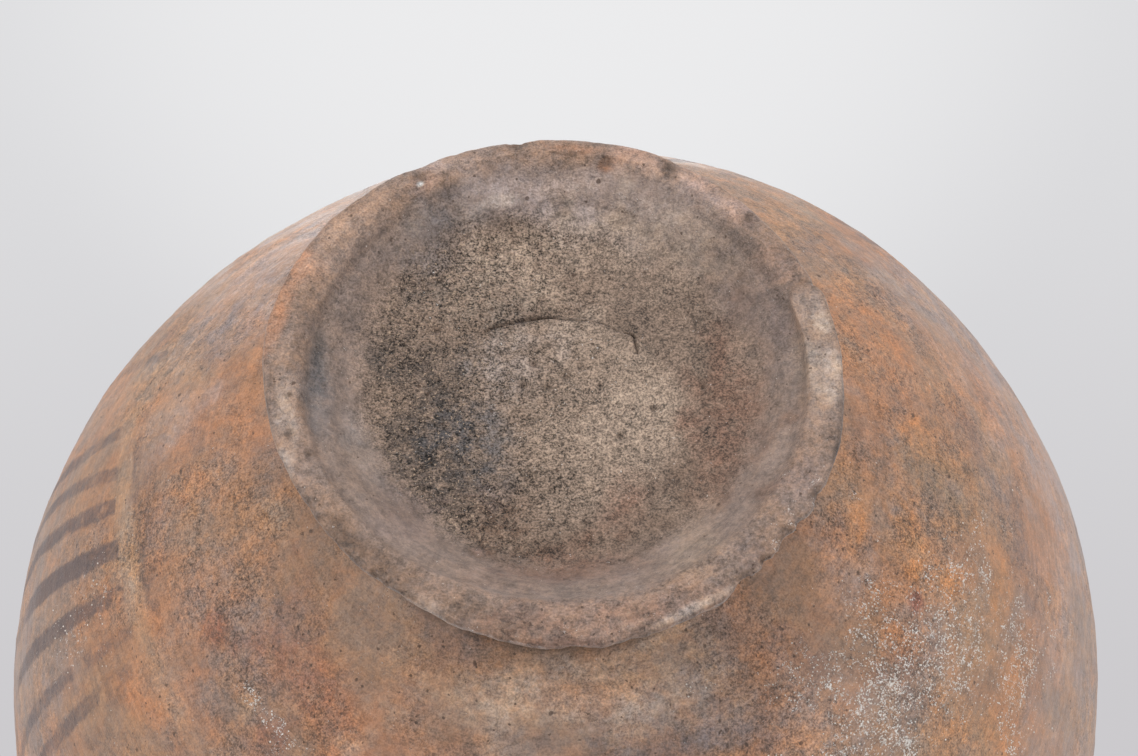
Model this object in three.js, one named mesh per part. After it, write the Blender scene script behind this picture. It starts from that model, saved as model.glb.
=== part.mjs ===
// A hand-built globular jar on a low flaring foot, in millimetres, with +Z up through its mouth.
// The origin is the centre of the ring that the jar stands on.
// Each mesh is one member of clay, shaped by itself and then luted to the next: the disc that
// closes the base, the bowl round it, the foot and its rolled lip, the straps of the body, the
// neck and the rim. The straps meet in level seams, flat on flat.
import * as THREE from "three";

// Foot
const footRadius = 50;
const lipHeight = 4;
const lipWidth = 10.3;
const lipRounding = 1.8;
const lipTuck = 2.2;
const lipBulge = 0.5;
const restWidth = 2.4;
const restEase = 1;
const flareSlope = 31;
const flareReach = 4.3;
const footNeckRadius = 40.5;
const footNeckHeight = 6;
const footHeight = 20.5;
const seatHeight = 16;

// Hollow under the foot: its slope and the lip's inner side lie a little towards +Y
const hollowDepth = 9.2;
const hollowRadius = 36;
const hollowDome = 0.8;
const hollowSlope = 40;
const hollowBend = 31.5;
const hollowDrift = { x: 0, y: 1.7 };

// Lap where the tail of the lip's coil lies over its head
const lapStart = 159;
const lapLength = 42;
const lapReach = 3.2;
const lapEndLength = 3.2;

// Base: the disc sits a little off the axis
const discRadius = 20;
const discDrift = { x: -1.7, y: -2 };
const discBevel = 3;
const baseThickness = 11;
const lutingGap = 0.3;

// Body
const bellyRadius = 112.5;
const bellyHeight = 129.5;
const wall = 7;
const footSlope = 22;
const shoulderHeight = 214;
const shoulderSlope = 12;

// Seams between the members of the body, as shares of the rise from foot to belly and from
// belly to neck
const bowlShare = 0.22;
const lowerStrapShare = 0.6;
const upperBellyShare = 0.28;
const upperStrapShare = 0.55;

// Fullness of the body's curves: how far their handles reach, as shares of their run and rise
const lowerRun = 0.68;
const lowerRise = 0.37;
const floorRun = 0.5;
const floorRise = 0.51;
const upperFullness = 0.55;

// Neck and rim
const neckRadius = 43;
const neckWall = 6;
const neckHeight = 26;
const neckWaist = 2.2;
const neckFlare = 6;
const rimRadius = 57.5;
const rimHeight = 9.5;
const rimNose = 2.6;
const noseStart = -50;
const noseEnd = 100;
const rimUnderReach = 4.6;
const rimOverReach = 7;

// Unevenness left by the hands: each lobe swells and shrinks a ring a few times in a turn
const footLobes = [
  { count: 1, size: 0.75, peak: 90 },
  { count: 2, size: 1.0, peak: 44 },
  { count: 3, size: 0.55, peak: 24 },
  { count: 4, size: 0.3, peak: 12 },
  { count: 5, size: 0.2, peak: 36 },
];
const bodyLobes = [
  { count: 2, size: 0.7, peak: 140 },
  { count: 3, size: 0.6, peak: 140 },
];

// Facets
const ringFacets = 64;
const lipFacets = 96;
const strapSteps = 3;
const curveSteps = 4;
const bendSteps = 2;
const noseSteps = 3;

const lowerSeam = (share) => THREE.MathUtils.lerp(footHeight, bellyHeight, share);
const upperSeam = (share) => THREE.MathUtils.lerp(bellyHeight, shoulderHeight, share);
const bowlTop = lowerSeam(bowlShare);
const lowerStrapTop = lowerSeam(lowerStrapShare);
const upperBellyTop = upperSeam(upperBellyShare);
const upperStrapTop = upperSeam(upperStrapShare);
const discTop = hollowDepth + baseThickness;
const neckTop = shoulderHeight + neckHeight;
const innerBellyRadius = bellyRadius - wall;
const mouthRadius = neckRadius - neckWall;
const holeRadius = discRadius + lutingGap;
const holeTopRadius = holeRadius + discBevel;
const ringInnerRadius = hollowRadius + lutingGap;
const lipInnerRadius = footRadius - lipWidth;
const lipSeamRadius = footRadius - lipTuck;
const restOuterRadius = footRadius - lipRounding;
const restInnerRadius = restOuterRadius - restWidth;
const slopeRise = Math.tan(THREE.MathUtils.degToRad(hollowSlope));
const floorEdgeHeight = hollowDepth - hollowDome;
const floorEdgeRadius = lipInnerRadius - (floorEdgeHeight - lipHeight) / slopeRise;
const shoulderDrop = wall / Math.cos(THREE.MathUtils.degToRad(shoulderSlope));
const neckEndRise = neckHeight / 3;
const neckEndSlope = THREE.MathUtils.radToDeg(Math.atan2(neckEndRise, neckWaist + neckFlare));

const point = (radius, height) => new THREE.Vector2(radius, height);

// A point that lies a length away from another one, at an angle above the level.
function pointFrom(start, length, degrees) {
  const angle = THREE.MathUtils.degToRad(degrees);
  return point(start.x + length * Math.cos(angle), start.y + length * Math.sin(angle));
}

// The outside of the body from the foot to the belly: it leaves the foot at a slope and
// stands upright at the belly.
function lowerOuterCurve() {
  const start = point(footNeckRadius, footHeight);
  const end = point(bellyRadius, bellyHeight);
  return new THREE.CubicBezierCurve(
    start,
    pointFrom(start, lowerRun * (bellyRadius - footNeckRadius), footSlope),
    point(end.x, end.y - lowerRise * (bellyHeight - footHeight)),
    end,
  );
}

// The inside from the middle of the floor to the belly.
function lowerInnerCurve() {
  return new THREE.CubicBezierCurve(
    point(0, discTop),
    point(floorRun * innerBellyRadius, discTop),
    point(innerBellyRadius, bellyHeight - floorRise * (bellyHeight - discTop)),
    point(innerBellyRadius, bellyHeight),
  );
}

// One face of the body from the belly to the root of the neck.
function upperCurve(beltRadius, rootRadius, rootHeight) {
  const root = point(rootRadius, rootHeight);
  return new THREE.CubicBezierCurve(
    point(beltRadius, bellyHeight),
    point(beltRadius, bellyHeight + upperFullness * (rootHeight - bellyHeight)),
    pointFrom(root, upperFullness * (beltRadius - rootRadius), -shoulderSlope),
    root,
  );
}

const lowerOuter = lowerOuterCurve();
const lowerInner = lowerInnerCurve();
const upperOuter = upperCurve(bellyRadius, neckRadius, shoulderHeight);
const upperInner = upperCurve(innerBellyRadius, mouthRadius, shoulderHeight - shoulderDrop);

// Where a rising curve reaches a value of x or y, as a share of the curve.
function shareAt(curve, axis, value) {
  let low = 0;
  let high = 1;
  const rising = curve.getPoint(1)[axis] > curve.getPoint(0)[axis];
  for (let step = 0; step < 40; step += 1) {
    const middle = (low + high) / 2;
    const before = curve.getPoint(middle)[axis] < value;
    if (before === rising) low = middle;
    else high = middle;
  }
  return (low + high) / 2;
}

// Points along a curve between two of its shares, both ends included.
function curvePart(curve, from, to, steps) {
  return Array.from({ length: steps + 1 }, (_, step) => {
    const share = THREE.MathUtils.lerp(from, to, step / steps);
    return curve.getPoint(share);
  });
}

// How far the lobes push a ring out at an angle.
function swell(lobes, angle) {
  return lobes.reduce((sum, lobe) => {
    const turned = angle - THREE.MathUtils.degToRad(lobe.peak);
    return sum + lobe.size * Math.cos(lobe.count * turned);
  }, 0);
}

// How far the floor goes off the axis with its disc: wholly as far out as the hole that the disc
// closes, and not at all at the edge of the boss.
function discShare(radius, height) {
  if (height > bowlTop) return 0;
  return 1 - THREE.MathUtils.smoothstep(radius, holeTopRadius, hollowRadius);
}

// How far the hollow goes off the axis: wholly on its slope, and not at all at the disc, at the
// edge that the jar rests on and at the seat under the bowl.
function hollowShare(radius, height) {
  const outwards = THREE.MathUtils.smoothstep(radius, holeTopRadius, floorEdgeRadius);
  const inwards = 1 - THREE.MathUtils.smoothstep(radius, restInnerRadius - restEase, restOuterRadius);
  return outwards * inwards * (1 - THREE.MathUtils.smoothstep(height, hollowDepth, seatHeight));
}

// Gives a turned shape the unevenness of the hand. The foot's own lobes pass into those of the
// body above the neck of the foot, and both fade out towards the axis.
function shapeByHand(geometry) {
  const position = geometry.getAttribute("position");
  for (let index = 0; index < position.count; index += 1) {
    const x = position.getX(index);
    const y = position.getY(index);
    const z = position.getZ(index);
    const radius = Math.hypot(x, y);
    const angle = Math.atan2(y, x);
    const share = THREE.MathUtils.smoothstep(z, lipHeight, 2 * footHeight);
    const push = THREE.MathUtils.lerp(swell(footLobes, angle), swell(bodyLobes, angle), share);
    const scale = 1 + push / Math.max(radius, footRadius);
    const withDisc = discShare(radius, z);
    const withHollow = hollowShare(radius, z);
    position.setXY(
      index,
      x * scale + discDrift.x * withDisc + hollowDrift.x * withHollow,
      y * scale + discDrift.y * withDisc + hollowDrift.y * withHollow,
    );
  }
  return geometry;
}

// Turns a closed outline of radius and height round the axis.
function turned(outline, facets = ringFacets) {
  return shapeByHand(new THREE.LatheGeometry(outline, facets).rotateX(Math.PI / 2));
}

// A ring whose outline changes as it goes round, from a function of the angle.
function lofted(outlineAt, facets) {
  const outlines = Array.from({ length: facets }, (_, turn) => outlineAt((turn / facets) * 360));
  const size = outlines[0].length;
  const positions = outlines.flatMap((outline, turn) => {
    const angle = (turn / facets) * 2 * Math.PI;
    return outline.flatMap((p) => [p.x * Math.cos(angle), p.x * Math.sin(angle), p.y]);
  });
  const faces = [];
  for (let turn = 0; turn < facets; turn += 1) {
    for (let side = 0; side < size; side += 1) {
      const here = turn * size + side;
      const along = turn * size + ((side + 1) % size);
      const next = ((turn + 1) % facets) * size + side;
      const nextAlong = ((turn + 1) % facets) * size + ((side + 1) % size);
      faces.push(here, next, nextAlong, here, nextAlong, along);
    }
  }
  const geometry = new THREE.BufferGeometry();
  geometry.setAttribute("position", new THREE.Float32BufferAttribute(positions, 3));
  geometry.setIndex(faces);
  return shapeByHand(geometry);
}

// How high the slope of the hollow lies at a radius.
function slopeHeight(radius) {
  return lipHeight + (lipInnerRadius - radius) * slopeRise;
}

// The slab that closes the base, pressed in from inside, so it is wider at the top.
function baseDisc() {
  const topRadius = discRadius + discBevel;
  const floorEdge = shareAt(lowerInner, "x", topRadius);
  return turned([
    point(0, hollowDepth),
    point(discRadius, hollowDepth),
    ...curvePart(lowerInner, floorEdge, 0, curveSteps - 1),
  ]);
}

// The bottom of the body, open in the middle for the disc. A boss on its underside makes the
// floor of the foot's hollow and centres the foot, which seats on the level land round it.
function lowerBowl() {
  const outerEnd = shareAt(lowerOuter, "y", bowlTop);
  const innerEnd = shareAt(lowerInner, "y", bowlTop);
  const innerStart = shareAt(lowerInner, "x", holeTopRadius);
  const inside = curvePart(lowerInner, innerEnd, innerStart, curveSteps + 1);
  const holeFloor = point(holeRadius, hollowDepth);
  const floorEdge = point(floorEdgeRadius, floorEdgeHeight);
  const bendShare = (hollowBend - holeRadius) / (floorEdgeRadius - holeRadius);
  const bend = new THREE.QuadraticBezierCurve(
    holeFloor.clone().lerp(floorEdge, bendShare),
    floorEdge,
    point(hollowRadius, slopeHeight(hollowRadius)),
  );
  return turned([
    holeFloor,
    ...curvePart(bend, 0, 1, bendSteps),
    point(hollowRadius, seatHeight),
    point(footNeckRadius, seatHeight),
    ...curvePart(lowerOuter, 0, outerEnd, 2 * strapSteps),
    ...inside,
    holeFloor.clone(),
  ]);
}

// The flaring wall of the foot, from the land under the bowl down to its lip.
function footRing() {
  const seam = point(lipSeamRadius, lipHeight);
  const flare = new THREE.CubicBezierCurve(
    seam,
    pointFrom(seam, flareReach, 180 - flareSlope),
    point(footNeckRadius, seatHeight - footNeckHeight),
    point(footNeckRadius, seatHeight),
  );
  const start = point(ringInnerRadius, slopeHeight(ringInnerRadius));
  return turned([
    start,
    point(lipInnerRadius, lipHeight),
    ...curvePart(flare, 0, 1, curveSteps + 2),
    point(ringInnerRadius, seatHeight),
    start.clone(),
  ]);
}

// How much of the lapped tail lies on the lip at an angle: a blunt rounded end, then a long
// taper into the coil.
function lapShare(degrees) {
  const along = THREE.MathUtils.euclideanModulo(degrees - lapStart, 360);
  const endDegrees = THREE.MathUtils.radToDeg(lapEndLength / footRadius);
  if (along > lapLength) return 0;
  if (along < endDegrees) return Math.sqrt(1 - (1 - along / endDegrees) ** 2);
  return 1 - THREE.MathUtils.smoothstep(along, endDegrees, lapLength);
}

// The coil rolled along the edge of the foot, worn flat where the jar stands on it. Its outer
// side bulges to the foot's radius. Its inner side carries on the slope of the hollow, and its
// tail is drawn over its head there, as a pad on the slope.
function footLip() {
  const bulge = 2 * footRadius - (restOuterRadius + lipSeamRadius) / 2;
  const slopeFoot = lipInnerRadius + lipHeight / slopeRise;
  const outside = new THREE.QuadraticBezierCurve(
    point(restOuterRadius, 0),
    point(bulge, lipBulge),
    point(lipSeamRadius, lipHeight),
  );
  const outlineAt = (degrees) => {
    const inside = new THREE.QuadraticBezierCurve(
      point(lipInnerRadius, lipHeight),
      point(slopeFoot - lapReach * lapShare(degrees), 0),
      point(restInnerRadius, 0),
    );
    return [...curvePart(outside, 0, 1, curveSteps), ...curvePart(inside, 0, 1, curveSteps)];
  };
  return lofted(outlineAt, lipFacets);
}

// A strap of the body between two level seams.
function strap(outer, inner, low, high) {
  const outside = [shareAt(outer, "y", low), shareAt(outer, "y", high)];
  const inside = [shareAt(inner, "y", high), shareAt(inner, "y", low)];
  const outline = [
    ...curvePart(outer, ...outside, strapSteps),
    ...curvePart(inner, ...inside, strapSteps),
  ];
  return turned([...outline, outline[0].clone()]);
}

// The strap that closes in to the root of the neck.
function shoulder() {
  const outerStart = shareAt(upperOuter, "y", upperStrapTop);
  const innerStart = shareAt(upperInner, "y", upperStrapTop);
  const outline = [
    ...curvePart(upperOuter, outerStart, 1, 2 * strapSteps),
    point(mouthRadius, shoulderHeight),
    ...curvePart(upperInner, 1, innerStart, curveSteps + 1),
  ];
  return turned([...outline, outline[0].clone()]);
}

// The upright collar, waisted and then flaring out to the rim.
function neck() {
  const face = (radius) =>
    new THREE.CubicBezierCurve(
      point(radius, shoulderHeight),
      point(radius - neckWaist, shoulderHeight + neckEndRise),
      point(radius - neckWaist, neckTop - neckEndRise),
      point(radius + neckFlare, neckTop),
    );
  const outline = [
    ...curvePart(face(neckRadius), 0, 1, curveSteps + 1),
    ...curvePart(face(mouthRadius), 1, 0, curveSteps + 1),
  ];
  return turned([...outline, outline[0].clone()]);
}

// The last coil, which carries on the slope of the neck and is rounded over at its nose.
function rimCoil() {
  const centre = point(rimRadius - rimNose, neckTop + rimHeight - rimNose);
  const nose = Array.from({ length: noseSteps + 1 }, (_, step) => {
    return pointFrom(centre, rimNose, THREE.MathUtils.lerp(noseStart, noseEnd, step / noseSteps));
  });
  const outerSeam = point(neckRadius + neckFlare, neckTop);
  const innerSeam = point(mouthRadius + neckFlare, neckTop);
  const under = new THREE.QuadraticBezierCurve(
    outerSeam,
    pointFrom(outerSeam, rimUnderReach, neckEndSlope),
    nose[0],
  );
  const over = new THREE.QuadraticBezierCurve(
    nose[noseSteps],
    pointFrom(innerSeam, rimOverReach, neckEndSlope),
    innerSeam,
  );
  const outline = [
    ...curvePart(under, 0, 1, curveSteps - 1),
    ...nose.slice(1, noseSteps),
    ...curvePart(over, 0, 1, curveSteps),
  ];
  return turned([...outline, outline[0].clone()]);
}

// Fired clay, dull all over.
function clay(colour) {
  return new THREE.MeshStandardMaterial({ color: colour, roughness: 0.9, metalness: 0 });
}

const members = [
  ["base_disc", baseDisc(), 0x97897b],
  ["lower_bowl", lowerBowl(), 0xa67e5c],
  ["foot_ring", footRing(), 0x86715f],
  ["foot_lip", footLip(), 0x907a68],
  ["lower_strap", strap(lowerOuter, lowerInner, bowlTop, lowerStrapTop), 0xa98262],
  ["lower_belly", strap(lowerOuter, lowerInner, lowerStrapTop, bellyHeight), 0xad8059],
  ["upper_belly", strap(upperOuter, upperInner, bellyHeight, upperBellyTop), 0xad8059],
  ["upper_strap", strap(upperOuter, upperInner, upperBellyTop, upperStrapTop), 0xb28a66],
  ["shoulder", shoulder(), 0xb08660],
  ["neck", neck(), 0xa67e5c],
  ["rim_coil", rimCoil(), 0x9c7656],
];

const jar = new THREE.Group();
for (const [name, geometry, colour] of members) {
  const mesh = new THREE.Mesh(geometry, clay(colour));
  mesh.name = name;
  jar.add(mesh);
}

export default jar;
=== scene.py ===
"""A hand-built globular jar of painted clay on a low flaring foot, seen from under the foot.

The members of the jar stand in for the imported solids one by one. They share one set of profiles
in millimetres and one relief that depends only on the place on the jar, so the seams between
them are smeared over as they are on the real wall.
"""

import logging
import math
from collections.abc import Sequence
from dataclasses import dataclass, field
from enum import Enum

import bpy
import numpy as np
from mathutils import Matrix, Vector

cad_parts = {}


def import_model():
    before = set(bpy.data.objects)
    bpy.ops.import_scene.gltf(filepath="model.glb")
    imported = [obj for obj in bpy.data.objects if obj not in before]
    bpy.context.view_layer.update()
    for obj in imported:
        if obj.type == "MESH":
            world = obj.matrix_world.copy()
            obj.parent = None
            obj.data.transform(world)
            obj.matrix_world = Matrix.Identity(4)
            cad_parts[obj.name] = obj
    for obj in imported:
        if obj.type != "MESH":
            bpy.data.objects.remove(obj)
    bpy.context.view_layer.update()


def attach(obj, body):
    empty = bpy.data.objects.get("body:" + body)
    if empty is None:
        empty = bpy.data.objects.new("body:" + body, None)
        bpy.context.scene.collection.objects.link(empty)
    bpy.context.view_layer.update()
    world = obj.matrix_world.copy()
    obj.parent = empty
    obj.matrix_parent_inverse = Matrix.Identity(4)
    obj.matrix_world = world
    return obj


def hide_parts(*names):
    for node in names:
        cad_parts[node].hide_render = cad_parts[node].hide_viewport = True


LOG = logging.getLogger("jar")
MM = 0.001
TURN = 2 * math.pi


class Slot(Enum):
    """The material slots of the jar's members."""

    BASE = "base_clay"
    FOOT = "foot_clay"
    BODY = "body_clay"
    PAINTED = "painted_clay"


class Face(Enum):
    """Which side of the wall a stretch of an outline lies on."""

    UNDER = 0
    OUTER = 1
    INNER = 2
    SEAM = 3


class Clay(Enum):
    """Colours that the firing, the ground and wear have left on the surface, as sRGB; some are also laid on as painted
    shade or painted sheen.
    """

    TAN = (168, 140, 122)
    BUFF = (172, 140, 114)
    TERRACOTTA = (175, 122, 88)
    AMBER = (187, 130, 84)
    RED = (147, 92, 74)
    RUSSET = (126, 92, 76)
    BROWN = (132, 104, 86)
    UMBER = (98, 78, 65)
    OLIVE = (144, 118, 92)
    MAUVE = (138, 117, 109)
    MAUVE_DARK = (108, 92, 87)
    PLUM = (96, 82, 82)
    ROSE = (180, 148, 133)
    # Pale haze; on the body's flanks and far side it is laid on as painted sheen.
    HAZE_AND_SHEEN = (172, 155, 149)
    BEIGE = (156, 137, 121)
    ASH = (150, 138, 132)
    BLUE_GREY = (113, 106, 105)
    BLUE_BLACK = (74, 69, 67)
    SOOT = (70, 62, 58)
    CHALK = (196, 180, 168)
    WHITE = (240, 237, 232)

    @property
    def linear(self) -> np.ndarray:
        """The colour as linear red, green and blue."""
        return linear(self.value)


def linear(srgb: Sequence[float]) -> np.ndarray:
    """Turns sRGB bytes into linear light.

    Args:
        srgb: Red, green and blue from 0 to 255.

    Returns:
        Linear red, green and blue from 0 to 1.
    """
    share = np.asarray(srgb, float) / 255
    return np.where(share <= 0.04045, share / 12.92, ((share + 0.055) / 1.055) ** 2.4)


def smooth(value: np.ndarray, low: float, high: float) -> np.ndarray:
    """Eases from 0 at one value to 1 at another.

    Args:
        value: The values to ease.
        low: Where the result is 0.
        high: Where the result is 1.

    Returns:
        The eased shares.
    """
    share = np.clip((value - low) / (high - low), 0, 1)
    return share * share * (3 - 2 * share)


def bell(value: np.ndarray, width: float) -> np.ndarray:
    """Gives 1 at zero and falls off over a width either side."""
    return np.exp(-((value / width) ** 2))


def angle_from(azimuth: np.ndarray, degrees: float) -> np.ndarray:
    """Gives how many degrees each azimuth lies from another one, from -180 to 180."""
    return (azimuth - degrees + 180) % 360 - 180


def bezier(points: Sequence[Sequence[float]], steps: int = 60) -> np.ndarray:
    """Samples a Bezier curve through its handles.

    Args:
        points: The two ends with the handles between them, as radius and height.
        steps: How many pieces to cut it into.

    Returns:
        Points along the curve, both ends included.
    """
    share = np.linspace(0, 1, steps + 1)[:, None]
    rows = [np.broadcast_to(np.asarray(point, float), (steps + 1, 2)) for point in points]
    while len(rows) > 1:
        rows = [a + (b - a) * share for a, b in zip(rows, rows[1:])]
    return rows[0].copy()


def spaced(points: np.ndarray, spacing: float) -> np.ndarray:
    """Sets points at even distances along a line.

    Args:
        points: The line, as radius and height.
        spacing: The largest distance between two points.

    Returns:
        The new points, both ends included.
    """
    length = np.r_[0, np.cumsum(np.hypot(*np.diff(points, axis=0).T))]
    marks = np.linspace(0, length[-1], max(int(math.ceil(length[-1] / spacing)), 1) + 1)
    return np.stack([np.interp(marks, length, points[:, axis]) for axis in (0, 1)], 1)


def part_of(curve: np.ndarray, axis: int, low: float, high: float) -> np.ndarray:
    """Cuts a rising curve between two of its radii or heights.

    Args:
        curve: The curve, finely sampled, which rises along the axis.
        axis: 0 to cut by radius, 1 to cut by height.
        low: Where the cut piece starts.
        high: Where it ends.

    Returns:
        The piece of the curve.
    """
    ends = [[np.interp(mark, curve[:, axis], curve[:, k]) for k in (0, 1)] for mark in (low, high)]
    inside = (curve[:, axis] > low) & (curve[:, axis] < high)
    return np.vstack([ends[0], curve[inside], ends[1]])


@dataclass(frozen=True)
class Noise:
    """Smooth noise that depends only on the place, so every piece gets the same."""

    seed: int = 7

    def corner(self, cell: np.ndarray) -> np.ndarray:
        """Gives each lattice cell a fixed value from -1 to 1."""
        mixed = cell[0] * 73856093 ^ cell[1] * 19349663 ^ cell[2] * 83492791 ^ self.seed * 2654435
        mixed = (mixed ^ (mixed >> 13)) & 0x7FFFFFFF
        mixed = (mixed * 1103515245 + 12345) & 0x7FFFFFFF
        mixed = (mixed ^ (mixed >> 11)) * 69069 & 0x7FFFFFFF
        return (mixed >> 8 & 0xFFFF) / 32767.5 - 1

    def single(self, places: np.ndarray, size: float) -> np.ndarray:
        """Gives noise of one size.

        Args:
            places: Points in millimetres.
            size: The distance between two lumps.

        Returns:
            Values from -1 to 1.
        """
        turned = places @ np.array([[0.8, 0.48, -0.36], [-0.6, 0.64, -0.48], [0, 0.6, 0.8]])
        scaled = turned / size + 37.3
        cell = np.floor(scaled).astype(np.int64)
        share = scaled - cell
        share = share * share * share * (share * (share * 6 - 15) + 10)
        total = np.zeros(len(places))
        for corner in range(8):
            step = np.array([corner & 1, corner >> 1 & 1, corner >> 2 & 1])
            weight = np.prod(np.where(step, share, 1 - share), axis=1)
            total += weight * self.corner((cell + step).T)
        return total

    def cloud(self, places: np.ndarray, size: float, octaves: int = 3) -> np.ndarray:
        """Adds up finer and fainter layers of noise.

        Args:
            places: Points in millimetres.
            size: The size of the broadest lumps.
            octaves: How many layers, each half the size of the last.

        Returns:
            Values mostly from -1 to 1.
        """
        layers = [self.single(places + 11.7 * k, size / 2**k) / 2**k for k in range(octaves)]
        return sum(layers) * 1.5 / sum(0.5**k for k in range(octaves))


@dataclass(frozen=True)
class JarForm:
    """The sizes that the members share, as the solids have them, in millimetres and degrees."""

    foot_radius: float = 50.0
    lip_height: float = 4.0
    lip_width: float = 10.3
    lip_rounding: float = 1.8
    lip_tuck: float = 2.2
    lip_bulge: float = 0.5
    rest_width: float = 2.4
    flare_slope: float = 31.0
    flare_reach: float = 4.3
    foot_neck_radius: float = 40.5
    foot_neck_height: float = 6.0
    foot_height: float = 20.5
    seat_height: float = 16.0
    hollow_depth: float = 9.2
    hollow_radius: float = 36.15
    hollow_dome: float = 0.8
    hollow_slope: float = 40.0
    hollow_softness: float = 2.6
    hollow_drift: tuple[float, float] = (0.0, 1.7)
    disc_radius: float = 20.15
    disc_bevel: float = 3.0
    disc_drift: tuple[float, float] = (-1.7, -2.0)
    base_thickness: float = 11.0
    belly_radius: float = 112.5
    belly_height: float = 129.5
    wall: float = 7.0
    foot_slope: float = 22.0
    shoulder_height: float = 214.0
    shoulder_slope: float = 12.0
    neck_radius: float = 43.0
    neck_wall: float = 6.0
    neck_height: float = 26.0
    neck_waist: float = 2.2
    neck_flare: float = 6.0
    rim_radius: float = 57.5
    rim_height: float = 9.5
    rim_nose: float = 2.6
    lap_start: float = 159.0
    lap_length: float = 42.0

    @property
    def disc_top(self) -> float:
        """Height of the floor inside the jar."""
        return self.hollow_depth + self.base_thickness

    @property
    def lip_inner_radius(self) -> float:
        """Where the lip meets the slope inside the foot."""
        return self.foot_radius - self.lip_width

    @property
    def rest_outer(self) -> float:
        """Outer edge of the worn ring that the jar stands on."""
        return self.foot_radius - self.lip_rounding

    @property
    def rest_inner(self) -> float:
        """Inner edge of the worn ring."""
        return self.rest_outer - self.rest_width

    @property
    def slope_rise(self) -> float:
        """How fast the slope of the hollow rises inwards."""
        return math.tan(math.radians(self.hollow_slope))

    @property
    def neck_top(self) -> float:
        """Height of the seam between neck and rim."""
        return self.shoulder_height + self.neck_height

    def lower_seam(self, share: float) -> float:
        """Height of a seam, as a share of the rise from foot to belly."""
        return self.foot_height + share * (self.belly_height - self.foot_height)

    def upper_seam(self, share: float) -> float:
        """Height of a seam, as a share of the rise from belly to neck."""
        return self.belly_height + share * (self.shoulder_height - self.belly_height)

    def away(self, start: Sequence[float], length: float, degrees: float) -> tuple[float, float]:
        """Gives the point that lies a length away at an angle above the level."""
        angle = math.radians(degrees)
        return start[0] + length * math.cos(angle), start[1] + length * math.sin(angle)

    def lower_outside(self) -> np.ndarray:
        """Outside of the body from the foot to the belly."""
        start = (self.foot_neck_radius, self.foot_height)
        run = self.belly_radius - self.foot_neck_radius
        rise = self.belly_height - self.foot_height
        above = (self.belly_radius, self.belly_height - 0.37 * rise)
        end = (self.belly_radius, self.belly_height)
        return bezier([start, self.away(start, 0.68 * run, self.foot_slope), above, end], 400)

    def lower_inside(self) -> np.ndarray:
        """Inside of the body from the middle of the floor to the belly."""
        radius = self.belly_radius - self.wall
        rise = self.belly_height - self.disc_top
        floor = (0.5 * radius, self.disc_top)
        handles = [(0, self.disc_top), floor, (radius, self.belly_height - 0.51 * rise)]
        return bezier([*handles, (radius, self.belly_height)], 400)

    def upper_side(self, inner: bool) -> np.ndarray:
        """One face of the body from the belly to the root of the neck.

        Args:
            inner: True for the face inside the jar.

        Returns:
            The curve, rising.
        """
        drop = self.wall / math.cos(math.radians(self.shoulder_slope)) if inner else 0
        belt = self.belly_radius - (self.wall if inner else 0)
        root = (self.neck_radius - (self.neck_wall if inner else 0), self.shoulder_height - drop)
        above = (belt, self.belly_height + 0.55 * (root[1] - self.belly_height))
        near = self.away(root, 0.55 * (belt - root[0]), -self.shoulder_slope)
        return bezier([(belt, self.belly_height), above, near, root], 400)

    def underside(self, radius: np.ndarray) -> np.ndarray:
        """Height of the hollow under the foot: its floor passes softly into the slope.

        Args:
            radius: Distances from the axis, up to the lip.

        Returns:
            The heights.
        """
        edge = self.hollow_depth - self.hollow_dome
        turn = self.lip_inner_radius - (edge - self.lip_height) / self.slope_rise
        share = np.clip((radius - self.disc_radius) / (turn - self.disc_radius), 0, 1)
        floor = self.hollow_depth - self.hollow_dome * share
        slope = self.lip_height + (self.lip_inner_radius - radius) * self.slope_rise
        mix = np.clip(0.5 + 0.5 * (slope - floor) / self.hollow_softness, 0, 1)
        return slope + (floor - slope) * mix - self.hollow_softness * mix * (1 - mix)


@dataclass(frozen=True)
class Unevenness:
    """The lobes by which hand-shaped rings swell and shrink: count, size and place of the peak."""

    foot: tuple[tuple[float, float, float], ...] = (
        (1, 0.75, 90),
        (2, 1.0, 44),
        (3, 0.55, 24),
        (4, 0.3, 12),
        (5, 0.2, 36),
    )
    body: tuple[tuple[float, float, float], ...] = ((2, 0.7, 140), (3, 0.6, 140))

    def swell(self, lobes: Sequence[Sequence[float]], azimuth: np.ndarray) -> np.ndarray:
        """Adds up the lobes at each azimuth."""
        return sum(size * np.cos(count * np.radians(azimuth - peak)) for count, size, peak in lobes)

    def shape(self, places: np.ndarray, form: JarForm) -> np.ndarray:
        """Gives turned places the unevenness of the hand, as the solids have it.

        Args:
            places: Points of a turned shape, in millimetres.
            form: The jar's sizes.

        Returns:
            The points as shaped.
        """
        x, y, z = places.T
        radius = np.hypot(x, y)
        azimuth = np.degrees(np.arctan2(y, x))
        share = smooth(z, form.lip_height, 2 * form.foot_height)
        push = (1 - share) * self.swell(self.foot, azimuth) + share * self.swell(self.body, azimuth)
        scale = 1 + push / np.maximum(radius, form.foot_radius)
        hole = form.disc_radius + form.disc_bevel
        with_disc = np.where(z > 45, 0, 1 - smooth(radius, hole, form.hollow_radius))
        with_hollow = smooth(radius, hole, 34.5) * (1 - smooth(radius, form.rest_inner - 1, form.rest_outer))
        with_hollow *= 1 - smooth(z, form.hollow_depth, form.seat_height)
        moved = np.stack([x * scale, y * scale, z], 1)
        moved[:, :2] += with_disc[:, None] * np.array(form.disc_drift)
        moved[:, :2] += with_hollow[:, None] * np.array(form.hollow_drift)
        return moved


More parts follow.
